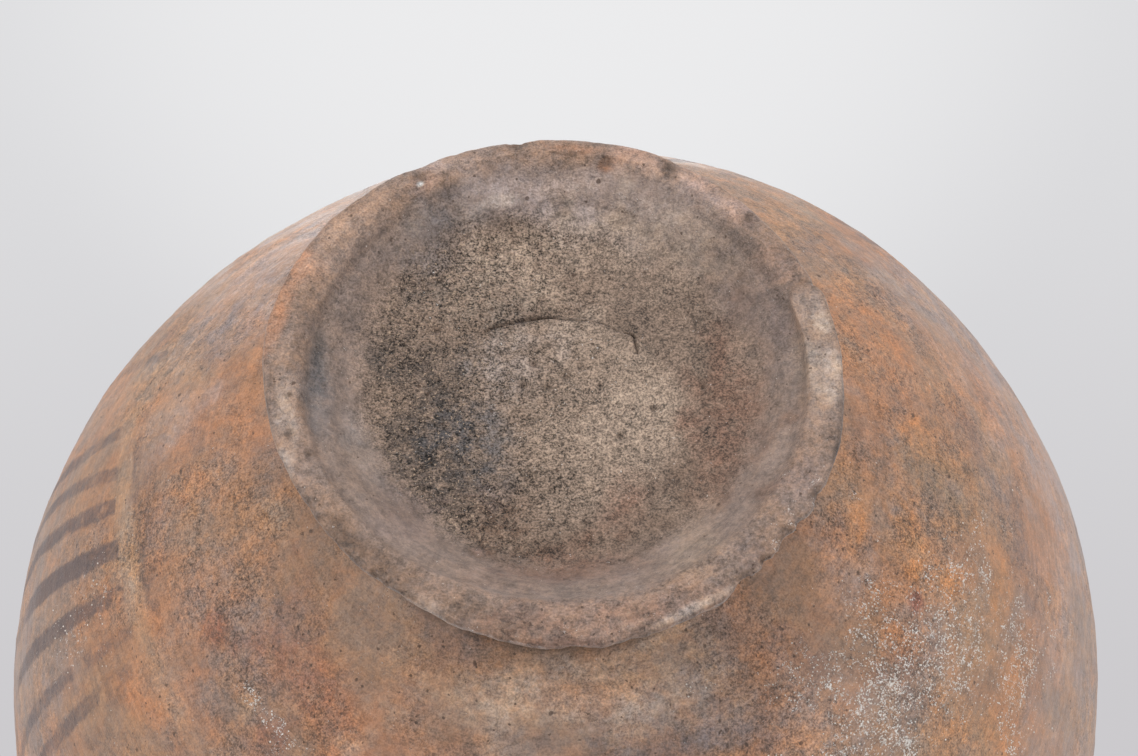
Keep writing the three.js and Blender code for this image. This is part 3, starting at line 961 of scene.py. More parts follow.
@dataclass(frozen=True)
class Patina:
    """Where the colours, the grit, the specks, the paint and the lime lie on the jar.

    A drift is a clay that the ground passes into: its colour, the size of its clouds, where they
    start and how strong they get.
    """

    form: JarForm
    relief: Relief
    painting: Painting
    noise: Noise = Noise(41)
    floor: tuple[int, int, int] = (119, 101, 88)
    slope: tuple[int, int, int] = (129, 111, 101)
    lip: tuple[int, int, int] = (136, 113, 99)
    body: tuple[int, int, int] = (153, 119, 95)
    # The flare colour of the foot's outer wall under the lip is partly dirt, partly painted shade from the overhanging
    # lip.
    flare: tuple[int, int, int] = (88, 70, 60)
    inside: tuple[int, int, int] = (132, 108, 92)
    drifts: tuple[tuple[Clay, float, float, float], ...] = (
        (Clay.TERRACOTTA, 24, -0.1, 0.6),
        (Clay.MAUVE, 29, 0.0, 0.5),
        (Clay.BUFF, 20, 0.1, 0.4),
        (Clay.RUSSET, 9, 0.15, 0.45),
        (Clay.TERRACOTTA, 6, 0.1, 0.35),
    )

    def under(self, places: np.ndarray) -> np.ndarray:
        """Ground colour under the foot: rough floor with its disc, wiped slope and lip."""
        radius, azimuth = self.relief.hollow(places)
        rough = self.relief.rough(places)[:, None]
        ragged = self.noise.cloud(places, 5, 3)
        on_lip = smooth(radius + 0.6 * ragged, 41.8, 45.2)[:, None]
        ground = linear(self.slope) * (1 - rough) + linear(self.floor) * rough
        ground = ground * (1 - on_lip) + linear(self.lip) * on_lip
        drift = np.array(self.form.disc_drift)
        away = np.linalg.norm(places[:, :2] - drift, axis=1) + 0.5 * ragged
        disc = (1 - smooth(away, self.form.disc_radius - 2.6, self.form.disc_radius + 1.6))[:, None]
        shown = 0.08 + 0.34 * (1 - smooth(places[:, 0] + 2 * ragged, -8, 12))[:, None]
        return ground + shown * disc * (Clay.BEIGE.linear - ground)

    def outer(self, places: np.ndarray) -> np.ndarray:
        """Ground colour outside: tan clay that drifts into terracotta, buff, brown and mauve."""
        ground = np.tile(linear(self.body), (len(places), 1))
        for clay, size, low, share in self.drifts:
            cloud = self.noise.cloud(places + 90 * share, size, 4)
            patch = share * smooth(cloud, low, low + 0.75)[:, None]
            ground += patch * (clay.linear - ground)
        return ground

    def lay_under(self, places: np.ndarray, masks: dict[str, np.ndarray]) -> None:
        """Works out the masks under the foot.

        Args:
            places: Points in millimetres.
            masks: The masks, which are changed.
        """
        radius, azimuth = self.relief.hollow(places)
        ragged = self.noise.cloud(places, 6, 3)
        rough = self.relief.rough(places)
        left = smooth(places[:, 0] + 5 * ragged, -16, 14)
        far = np.clip(0.75 * bell(angle_from(azimuth, 60), 75) + 0.3 * bell(angle_from(azimuth, 170), 50), 0, 1)
        near = rough * bell(angle_from(azimuth, 262), 55) * smooth(radius, 15, 30)
        lip = smooth(radius, 42.5, 45)
        slope = (1 - lip) * far * (0.55 + 0.35 * ragged) + lip * (0.08 + 0.3 * far)
        masks["grit"] = np.clip(rough * (0.45 + 1.2 * left - 0.2 * near) + (1 - rough) * slope, 0.05, 1.8)
        masks["mottle"] = 0.3 * rough + 0.3 * near + (1 - rough) * (0.8 + 0.1 * lip) * (1 - 0.4 * far)
        sooty = smooth(places[:, 0] + 4 * ragged, -2, 18)
        masks["crumb"] = rough * (0.1 + 1.1 * sooty) + (1 - rough) * 0.5 * far
        rolled = lip * bell(angle_from(azimuth, 258), 50)
        masks["mottle"] += 0.35 * rolled
        masks["crumb"] += 0.4 * rolled
        masks["pepper"] = 0.3 + 0.7 * rough * (1 - left) + 0.1 * lip + 0.15 * rolled
        masks["hue"] = 0.04 + 0.2 * (1 - rough) + 0.25 * lip
        masks["polish"] = (1 - rough) * (0.45 + 0.55 * lip)

    def lay_outer(self, places: np.ndarray, rounds: np.ndarray, masks: dict[str, np.ndarray]) -> None:
        """Works out the masks outside.

        Args:
            places: Points in millimetres.
            rounds: Radius and height of the same points on the even profile.
            masks: The masks, which are changed.
        """
        radius, azimuth = np.hypot(places[:, 0], places[:, 1]), np.degrees(np.arctan2(places[:, 1], places[:, 0]))
        patchy = smooth(self.noise.cloud(places, 13, 4), -0.7, 0.6)
        flank = smooth(radius, 74, 104)
        behind = bell(angle_from(azimuth, 90), 55)
        masks["paint"] = self.painting.amount(places, rounds)
        front = bell(angle_from(azimuth, 270), 38) * (1 - smooth(radius, 58, 78))
        calm = 1 - 0.4 * smooth(places[:, 2], 100, 150)
        masks["pepper"] = (0.45 + 0.6 * patchy) * (1 - 0.5 * flank) * (1 - 0.45 * behind) * (1 - 0.35 * front) * calm
        masks["polish"] = 0.3 + 0.3 * (1 - patchy)
        masks["grit"] = 0.1 * patchy
        masks["mottle"] = 0.45 + 0.3 * patchy
        masks["crumb"] = 0.3 * patchy
        masks["hue"] = (0.6 + 0.3 * patchy) * (1 - 0.4 * front) * calm

    def stain(self, tone: np.ndarray, places: np.ndarray, stains: Sequence[Stain]) -> np.ndarray:
        """Lays stains over a tone, with edges torn by noise."""
        ragged = self.noise.cloud(places, 7, 4)
        for stain in stains:
            share = stain.mask(places, ragged)[:, None]
            tone = tone * (1 - share) + stain.clay.linear * share
        return tone

    def lay(self, places: np.ndarray, rounds: np.ndarray, face: Face) -> dict[str, np.ndarray]:
        """Works out every mask for places on one side of the wall.

        Args:
            places: Points in millimetres.
            rounds: Radius and height of the same points on the even profile.
            face: The side of the wall.

        Returns:
            The colours and the masks by name.
        """
        masks = {name: np.zeros(len(places)) for name in MASKS}
        radius = np.hypot(places[:, 0], places[:, 1])
        if face is Face.UNDER:
            ground = self.under(places)
            self.lay_under(places, masks)
            tone = self.stain(ground, places, UNDER_STAINS)
            nearest, disc = self.relief.crack(places)
            shut = 0.85 * bell(nearest, 0.3) + 0.3 * (1 - disc) * bell(nearest, 1.6)
            tone += np.clip(shut, 0, 1)[:, None] * (Clay.UMBER.linear * 0.5 - tone)
            tone += 0.85 * self.relief.knocked(places)[1][:, None] * (Clay.UMBER.linear * 0.5 - tone)
            edge, plain = self.relief.lap(*self.relief.hollow(places))
            tone += (0.15 * plain * (1 - smooth(edge, -2.2, -0.2)))[:, None] * (Clay.CHALK.linear - tone)
            tone += (0.2 * plain * bell(edge - 0.7, 0.7))[:, None] * (Clay.UMBER.linear * 0.7 - tone)
            azimuth = np.degrees(np.arctan2(places[:, 1], places[:, 0]))
            # Dark line on the outer side of the near lip: painted shadow where the lip overhangs the body.
            edge = smooth(rounds[:, 1], 0.5, 2.2) * smooth(rounds[:, 0], 47, 48) * bell(angle_from(azimuth, 262), 75)
            tone += 0.7 * edge[:, None] * (Clay.UMBER.linear * 0.7 - tone)
        elif face is Face.OUTER:
            ground = self.outer(places)
            self.lay_outer(places, rounds, masks)
            tone = self.stain(ground, places, BODY_STAINS)
            # Below 13 mm the wall takes the dark flare colour: partly dirt, partly painted shade under the lip.
            foot = smooth(places[:, 2], 13, 6)[:, None]
            tone = tone * (1 - foot) + foot * linear(self.flare)
            strip = self.painting.off_belt(places, rounds) - 2.9
            seen = 0.3 + 0.7 * bell(angle_from(np.degrees(np.arctan2(places[:, 1], places[:, 0])), 355), 28)
            tone += (0.75 * seen * bell(strip, 1.9))[:, None] * (Clay.BUFF.linear - tone)
            azimuth = np.degrees(np.arctan2(places[:, 1], places[:, 0]))
            # The flanks pale towards the widest radius: painted sheen where the light grazes.
            sides = 0.14 + 0.24 * bell(angle_from(azimuth, 175), 40) + 0.12 * bell(angle_from(azimuth, 0), 40)
            painted_flank_sheen = (sides * smooth(radius, 88, 108))[:, None]
            tone += painted_flank_sheen * (Clay.HAZE_AND_SHEEN.linear - tone)
            ground += foot * (linear(self.flare) - ground)
            # Dark band at the root of the foot: painted shadow cast by the lip onto the fillet.
            corner = 0.8 * (1 - smooth(rounds[:, 0], 41.4, 43.0))[:, None]
            tone += corner * (Clay.UMBER.linear * 0.6 - tone)
        else:
            ground = np.tile(linear(self.inside), (len(places), 1))
            tone = ground
            for name in ("grit", "mottle", "pepper", "hue"):
                masks[name] += 0.4
        ragged = self.noise.cloud(places, 6, 3)
        for patch in LIME:
            masks["lime"] = np.maximum(masks["lime"], patch.mask(places, ragged))
        return masks | {"tone": tone, "ground": ground}


@dataclass
class Run:
    """One stretch of a member's outline, on one side of the wall."""

    points: np.ndarray
    face: Face
    spacing: float


@dataclass(frozen=True)
class Craft:
    """What every member is shaped and coloured by."""

    form: JarForm
    hand: Unevenness
    relief: Relief
    patina: Patina


@dataclass
class Member:
    """One turned member of clay, which stands in for the solid of the same name."""

    craft: Craft
    node: str = ""
    slot: Slot = Slot.BODY
    facets: int = 560

    def runs(self) -> list[Run]:
        """Gives the outline, from the lowest point outwards, up and back."""
        raise NotImplementedError

    def rows(self) -> tuple[np.ndarray, np.ndarray, list[Face], np.ndarray, bool]:
        """Joins the runs to one outline.

        Returns:
            The points, their outward normals, their faces, which of them are corners, and
            whether the outline closes on itself, away from the axis.
        """
        points, normals, faces, corners = [], [], [], []
        for run in self.runs():
            line = spaced(run.points, run.spacing)
            ahead = np.gradient(line, axis=0)
            normal = np.stack([ahead[:, 1], -ahead[:, 0]], 1)
            normal /= np.linalg.norm(normal, axis=1, keepdims=True)
            first = 0
            if points:
                first = 1
                corners[-1] = True
                if faces[-1] is Face.SEAM:
                    faces[-1], normals[-1] = run.face, normal[0]
            points += list(line[first:])
            normals += list(normal[first:])
            faces += [run.face] * (len(line) - first)
            corners += [False] * (len(line) - first)
        closed = points[0][0] > 0.01
        if closed:
            points.pop()
            normals.pop()
            faces.pop()
            corners.pop()
            corners[0] = True
        return np.array(points), np.array(normals), faces, np.array(corners), closed

    def build(self) -> bpy.types.Object:
        """Makes the member's mesh, with its masks, and its object at the origin."""
        rows, normals, faces, corners, closed = self.rows()
        count, facets = len(rows), self.facets
        turn = np.linspace(0, 360, facets, endpoint=False)
        azimuth = np.tile(turn, count)
        rounds = np.repeat(rows, facets, axis=0)
        cos, sin = np.cos(np.radians(azimuth)), np.sin(np.radians(azimuth))
        places = np.stack([rounds[:, 0] * cos, rounds[:, 0] * sin, rounds[:, 1]], 1)
        places = self.craft.hand.shape(places, self.craft.form)
        ways = np.repeat(normals, facets, axis=0)
        ways = np.stack([ways[:, 0] * cos, ways[:, 0] * sin, ways[:, 1]], 1)
        face_of = np.repeat([face.value for face in faces], facets)
        masks = {name: np.zeros(len(places)) for name in MASKS}
        masks["tone"] = np.tile(linear(self.craft.patina.inside), (len(places), 1))
        masks["ground"] = masks["tone"].copy()
        lifted = places.copy()
        for face in (Face.UNDER, Face.OUTER, Face.INNER):
            chosen = face_of == face.value
            if not chosen.any():
                continue
            rise = self.craft.relief.height(places[chosen], face)
            lifted[chosen] += ways[chosen] * rise[:, None]
            laid = self.craft.patina.lay(places[chosen], rounds[chosen], face)
            for name, values in laid.items():
                masks[name][chosen] = values
        lifted[:, 2] = np.maximum(lifted[:, 2], 0)
        radius = np.hypot(places[:, 0], places[:, 1])
        along = np.where(face_of == Face.UNDER.value, radius, radius + places[:, 2])
        masks["wipe"] = np.stack([4 * cos, 4 * sin, along], 1)
        return self.weave(lifted, masks, corners, count, closed)

    def weave(
        self,
        places: np.ndarray,
        masks: dict[str, np.ndarray],
        corners: np.ndarray,
        count: int,
        closed: bool,
    ) -> bpy.types.Object:
        """Joins rows of places to a closed mesh.

        Args:
            places: Points in millimetres, row by row.
            masks: Values for each point, by name.
            corners: Which rows are corners of the outline.
            count: How many rows there are.
            closed: Whether the last row meets the first; otherwise both ends are poles.

        Returns:
            The object.
        """
        facets = self.facets
        here = np.arange(facets)
        after = (here + 1) % facets
        if closed:
            pairs = [(row, (row + 1) % count) for row in range(count)]
        else:
            pairs = [(row, row + 1) for row in range(1, count - 2)]
        quads = np.concatenate(
            [
                np.stack([a * facets + here, a * facets + after, b * facets + after, b * facets + here], 1)
                for a, b in pairs
            ]
        )
        fans = []
        if not closed:
            first = np.stack([np.zeros(facets, int), facets + after, facets + here], 1)
            base = (count - 2) * facets
            last = np.stack([np.full(facets, (count - 1) * facets), base + here, base + after], 1)
            fans = [first, last]
        used = np.unique(np.concatenate([quads.ravel(), *[fan.ravel() for fan in fans]]))
        renamed = np.zeros(len(places), int)
        renamed[used] = np.arange(len(used))
        loops = np.concatenate([renamed[quads].ravel(), *[renamed[fan].ravel() for fan in fans]])
        sizes = np.concatenate([np.full(len(quads), 4), *[np.full(len(fan), 3) for fan in fans]])
        mesh = bpy.data.meshes.new(self.node + "_clay")
        mesh.vertices.add(len(used))
        mesh.vertices.foreach_set("co", (places[used] * MM).astype(np.float32).ravel())
        mesh.loops.add(len(loops))
        mesh.loops.foreach_set("vertex_index", loops.astype(np.int32))
        mesh.polygons.add(len(sizes))
        mesh.polygons.foreach_set("loop_start", np.r_[0, np.cumsum(sizes)[:-1]].astype(np.int32))
        mesh.update(calc_edges=True)
        mesh.shade_smooth()
        self.crease(mesh, np.repeat(corners, facets)[used], (np.arange(len(places)) // facets)[used])
        for name, values in masks.items():
            self.write(mesh, name, values[used])
        mesh.validate()
        piece = bpy.data.objects.new(self.node + "_clay", mesh)
        bpy.context.scene.collection.objects.link(piece)
        return piece

    def crease(self, mesh: bpy.types.Mesh, corner: np.ndarray, row: np.ndarray) -> None:
        """Marks the edges that run along the outline's corners as sharp."""
        ends = np.zeros(len(mesh.edges) * 2, np.int32)
        mesh.edges.foreach_get("vertices", ends)
        a, b = ends.reshape(-1, 2).T
        sharp = corner[a] & corner[b] & (row[a] == row[b])
        marks = mesh.attributes.new("sharp_edge", "BOOLEAN", "EDGE")
        marks.data.foreach_set("value", sharp)

    def write(self, mesh: bpy.types.Mesh, name: str, values: np.ndarray) -> None:
        """Stores a mask, a colour or a direction on the mesh's points."""
        if name in ("tone", "ground"):
            rgba = np.ones((len(values), 4), np.float32)
            rgba[:, :3] = values
            layer = mesh.attributes.new(name, "FLOAT_COLOR", "POINT")
            layer.data.foreach_set("color", rgba.ravel())
        elif values.ndim == 2:
            layer = mesh.attributes.new(name, "FLOAT_VECTOR", "POINT")
            layer.data.foreach_set("vector", values.astype(np.float32).ravel())
        else:
            layer = mesh.attributes.new(name, "FLOAT", "POINT")
            layer.data.foreach_set("value", values.astype(np.float32))

    def dress(self, piece: bpy.types.Object, finish: "ClayFinish") -> None:
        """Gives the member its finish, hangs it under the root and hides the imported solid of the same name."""
        piece.data.materials.append(finish.material())
        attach(piece, "root")
        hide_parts(self.node)
        LOG.info("%s: %d faces", piece.name, len(piece.data.polygons))


@dataclass
class BaseDisc(Member):
    """The slab that closes the base."""

    node: str = "base_disc"
    slot: Slot = Slot.BASE
    facets: int = 640

    def runs(self) -> list[Run]:
        """Its rough underside, its bevelled edge and the floor inside the jar."""
        form = self.craft.form
        radius = np.linspace(0, form.disc_radius, 90)
        inside = part_of(form.lower_inside(), 0, 0, form.disc_radius + form.disc_bevel)
        below = np.stack([radius, form.underside(radius)], 1)
        edge = np.vstack([below[-1], inside[-1]])
        return [
            Run(below, Face.UNDER, 0.23),
            Run(edge, Face.SEAM, 4),
            Run(inside[::-1], Face.INNER, 2.2),
        ]


@dataclass
class LowerBowl(Member):
    """The saucer round the disc: floor of the hollow, boss, and the body beside the foot."""

    node: str = "lower_bowl"
    slot: Slot = Slot.BODY
    facets: int = 640
    top_share: float = 0.22
    fillet: float = 6.5

    def runs(self) -> list[Run]:
        """The floor, the boss, the smeared fillet above the foot, the outside and the inside."""
        form = self.craft.form
        top = form.lower_seam(self.top_share)
        radius = np.linspace(form.disc_radius, form.hollow_radius, 60)
        floor = np.stack([radius, form.underside(radius)], 1)
        seat = (form.foot_neck_radius, form.seat_height)
        curve = form.lower_outside()
        leave = form.foot_neck_radius + self.fillet
        rest = part_of(curve, 1, float(np.interp(leave, curve[:, 0], curve[:, 1])), top)
        root = (form.foot_neck_radius, form.foot_height)
        outside = np.vstack([bezier([seat, root, rest[0]], 20), rest[1:]])
        hole = form.disc_radius + form.disc_bevel
        inside = part_of(form.lower_inside(), 0, hole, 200)
        inside = part_of(inside, 1, inside[0, 1], top)[::-1]
        boss = np.array([floor[-1], (form.hollow_radius, form.seat_height), seat])
        return [
            Run(floor, Face.UNDER, 0.34),
            Run(boss, Face.SEAM, 3),
            Run(outside, Face.OUTER, 0.62),
            Run(np.vstack([outside[-1], inside[0]]), Face.SEAM, 4),
            Run(inside, Face.INNER, 3.5),
            Run(np.vstack([inside[-1], floor[0]]), Face.SEAM, 4),
        ]


@dataclass
class FootRing(Member):
    """The flaring wall of the foot."""

    node: str = "foot_ring"
    slot: Slot = Slot.FOOT
    facets: int = 800

    def runs(self) -> list[Run]:
        """The wiped slope inside, the seam under the lip, the flare and the land under the bowl."""
        form = self.craft.form
        radius = np.linspace(form.hollow_radius, form.lip_inner_radius, 40)
        slope = np.stack([radius, form.underside(radius)], 1)
        seam = (form.foot_radius - form.lip_tuck, form.lip_height)
        neck = (form.foot_neck_radius, form.seat_height)
        handle = form.away(seam, form.flare_reach, 180 - form.flare_slope)
        below = (form.foot_neck_radius, form.seat_height - form.foot_neck_height)
        land = np.array([neck, (form.hollow_radius, form.seat_height), slope[0]])
        return [
            Run(slope, Face.UNDER, 0.28),
            Run(np.vstack([slope[-1], seam]), Face.SEAM, 3),
            Run(bezier([seam, handle, below, neck]), Face.OUTER, 0.5),
            Run(land, Face.SEAM, 4),
        ]


@dataclass
class FootLip(Member):
    """The coil rolled along the edge of the foot, with its tail lapped over its head."""

    node: str = "foot_lip"
    slot: Slot = Slot.FOOT
    facets: int = 1100

    def runs(self) -> list[Run]:
        """The inner side, the worn rest, the bulging outer side and the seam above."""
        form = self.craft.form
        top = form.foot_radius - form.lip_tuck
        bulge = 2 * form.foot_radius - (form.rest_outer + top) / 2
        inner = (form.lip_inner_radius, form.lip_height)
        slope_foot = (form.lip_inner_radius + form.lip_height / form.slope_rise, 0)
        outer = [(form.rest_outer, 0), (bulge, form.lip_bulge), (top, form.lip_height)]
        inside = bezier([inner, slope_foot, (form.rest_inner, 0)])
        under = np.vstack([inside, [(form.rest_outer, 0)], bezier(outer)[1:]])
        return [
            Run(under, Face.UNDER, 0.24),
            Run(np.array([(top, form.lip_height), inner]), Face.SEAM, 3),
        ]


@dataclass
class Strap(Member):
    """A strap of the body between two level seams."""

    slot: Slot = Slot.PAINTED
    low: float = 0.0
    high: float = 0.0
    upper: bool = False
    spacing: float = 1.0

    def runs(self) -> list[Run]:
        """Outside, upper seam, inside and lower seam."""
        form = self.craft.form
        outer = form.upper_side(False) if self.upper else form.lower_outside()
        inner = form.upper_side(True) if self.upper else form.lower_inside()
        outside = part_of(outer, 1, self.low, self.high)
        inside = part_of(inner, 1, self.low, self.high)[::-1]
        return [
            Run(outside, Face.OUTER, self.spacing),
            Run(np.vstack([outside[-1], inside[0]]), Face.SEAM, 4),
            Run(inside, Face.INNER, 3.5),
            Run(np.vstack([inside[-1], outside[0]]), Face.SEAM, 4),
        ]


@dataclass
class Shoulder(Member):
    """The strap that closes in to the root of the neck."""

    node: str = "shoulder"
    slot: Slot = Slot.PAINTED
    low_share: float = 0.55

    def runs(self) -> list[Run]:
        """Outside, the seat of the neck, inside and the lower seam."""
        form = self.craft.form
        low = form.upper_seam(self.low_share)
        outside = part_of(form.upper_side(False), 1, low, form.shoulder_height)
        inner = form.upper_side(True)
        inside = part_of(inner, 1, low, inner[-1, 1])[::-1]
        mouth = (form.neck_radius - form.neck_wall, form.shoulder_height)
        return [
            Run(outside, Face.OUTER, 1.1),
            Run(np.vstack([outside[-1], mouth]), Face.SEAM, 3),
            Run(np.vstack([mouth, inside]), Face.INNER, 2.5),
            Run(np.vstack([inside[-1], outside[0]]), Face.SEAM, 4),
        ]


@dataclass
class Neck(Member):
    """The upright collar, waisted and then flaring out to the rim."""

    node: str = "neck"
    slot: Slot = Slot.BODY

    def face(self, radius: float) -> np.ndarray:
        """One face of the collar that starts at a radius."""
        form = self.craft.form
        rise = form.neck_height / 3
        low = (radius - form.neck_waist, form.shoulder_height + rise)
        high = (radius - form.neck_waist, form.neck_top - rise)
        return bezier([(radius, form.shoulder_height), low, high, (radius + form.neck_flare, form.neck_top)])

    def runs(self) -> list[Run]:
        """Outside, seam under the rim, inside and seat."""
        form = self.craft.form
        outside = self.face(form.neck_radius)
        inside = self.face(form.neck_radius - form.neck_wall)[::-1]
        return [
            Run(outside, Face.OUTER, 0.8),
            Run(np.vstack([outside[-1], inside[0]]), Face.SEAM, 3),
            Run(inside, Face.INNER, 1.0),
            Run(np.vstack([inside[-1], outside[0]]), Face.SEAM, 3),
        ]


@dataclass
class RimCoil(Member):
    """The last coil, turned outwards and rounded over."""

    node: str = "rim_coil"
    slot: Slot = Slot.BODY
    nose_start: float = -50.0
    nose_end: float = 100.0
    under_reach: float = 4.6
    over_reach: float = 7.0

    def runs(self) -> list[Run]:
        """Under side, nose, upper side and the seam on the neck."""
        form = self.craft.form
        centre = (form.rim_radius - form.rim_nose, form.neck_top + form.rim_height - form.rim_nose)
        slope = math.degrees(math.atan2(form.neck_height / 3, form.neck_waist + form.neck_flare))
        turns = np.linspace(self.nose_start, self.nose_end, 24)
        nose = [form.away(centre, form.rim_nose, turn) for turn in turns]
        outer = (form.neck_radius + form.neck_flare, form.neck_top)
        inner = (outer[0] - form.neck_wall, form.neck_top)
        under = bezier([outer, form.away(outer, self.under_reach, slope), nose[0]])
        over = bezier([nose[-1], form.away(inner, self.over_reach, slope), inner])
        return [
            Run(np.vstack([under, nose[1:-1], over]), Face.OUTER, 0.6),
            Run(np.array([inner, outer]), Face.SEAM, 3),
        ]


Socket = bpy.types.NodeSocket


class Graph:
    """A hand for laying out one node tree."""

    def __init__(self, tree: bpy.types.NodeTree) -> None:
        """Takes the tree to lay nodes in."""
        self.tree = tree

    def add(self, kind: str, values: dict[str | int, object] | None = None, **settings: object) -> bpy.types.Node:
        """Adds a node.

        Args:
            kind: Its type.
            values: Links or plain values for its inputs, by name or number.
            settings: Its properties.

        Returns:
            The node.
        """
        node = self.tree.nodes.new(kind)
        for name, setting in settings.items():
            setattr(node, name, setting)
        for key, value in (values or {}).items():
            if isinstance(value, Socket):
                self.tree.links.new(value, node.inputs[key])
            else:
                node.inputs[key].default_value = value
        return node

    def math(self, operation: str, *values: object, clamp: bool = False) -> Socket:
        """Adds a Math node and returns its result."""
        node = self.add("ShaderNodeMath", dict(enumerate(values)), operation=operation, use_clamp=clamp)
        return node.outputs[0]

    def ease(self, value: object, low: object, high: object, start: float = 0.0, end: float = 1.0) -> Socket:
        """Maps a value smoothly from one range onto another."""
        inputs = {"Value": value, "From Min": low, "From Max": high, "To Min": start, "To Max": end}
        return self.add("ShaderNodeMapRange", inputs, interpolation_type="SMOOTHSTEP").outputs["Result"]

    def mix(self, share: object, under: object, over: object, blend: str = "MIX") -> Socket:
        """Mixes two colours."""
        inputs = {0: share, 6: under, 7: over}
        node = self.add("ShaderNodeMix", inputs, data_type="RGBA", blend_type=blend, clamp_factor=True)
        return node.outputs[2]

    def noise(self, vector: Socket, scale: float, detail: float = 2, roughness: float = 0.55) -> Socket:
        """Adds a noise texture and returns its value."""
        inputs = {"Vector": vector, "Scale": scale, "Detail": detail, "Roughness": roughness}
        return self.add("ShaderNodeTexNoise", inputs).outputs[0]

    def cells(self, vector: Socket, scale: float) -> tuple[Socket, Socket]:
        """Adds a cell texture and returns distance and a number for each cell."""
        node = self.add("ShaderNodeTexVoronoi", {"Vector": vector, "Scale": scale, "Randomness": 1.0})
        parts = self.add("ShaderNodeSeparateColor", {0: node.outputs["Color"]})
        return node.outputs["Distance"], parts.outputs[0]

    def vector(self, operation: str, first: object, second: object) -> Socket:
        """Adds a Vector Math node on two vectors or colours and returns its result."""
        return self.add("ShaderNodeVectorMath", {0: first, 1: second}, operation=operation).outputs[0]

    def scaled(self, vector: object, scale: Socket) -> Socket:
        """Scales a vector or a colour."""
        return self.add("ShaderNodeVectorMath", {0: vector, "Scale": scale}, operation="SCALE").outputs[0]

    def weighed(self, parts: Sequence[tuple[Socket, float]]) -> Socket:
        """Adds up values, each times its weight."""
        total = self.math("MULTIPLY", *parts[0])
        for value, weight in parts[1:]:
            total = self.math("MULTIPLY_ADD", value, weight, total)
        return total

    def mask(self, name: str) -> Socket:
        """Reads one of the masks stored on the mesh."""
        return self.add("ShaderNodeAttribute", attribute_name=name).outputs["Fac"]


def new_group(name: str, inputs: dict[str, str], outputs: dict[str, str]) -> tuple[Graph, bpy.types.Node, bpy.types.Node]:
    """Starts a shader node group.

    Args:
        name: The group's name.
        inputs: Socket types by input name.
        outputs: Socket types by output name.

    Returns:
        The graph, the node with the group's inputs and the node that takes its outputs.
    """
    tree = bpy.data.node_groups.new(name, "ShaderNodeTree")
    for label, kind in inputs.items():
        tree.interface.new_socket(label, in_out="INPUT", socket_type=kind)
    for label, kind in outputs.items():
        tree.interface.new_socket(label, in_out="OUTPUT", socket_type=kind)
    graph = Graph(tree)
    return graph, graph.add("NodeGroupInput"), graph.add("NodeGroupOutput")


VECTOR, FLOAT, COLOUR = "NodeSocketVector", "NodeSocketFloat", "NodeSocketColor"


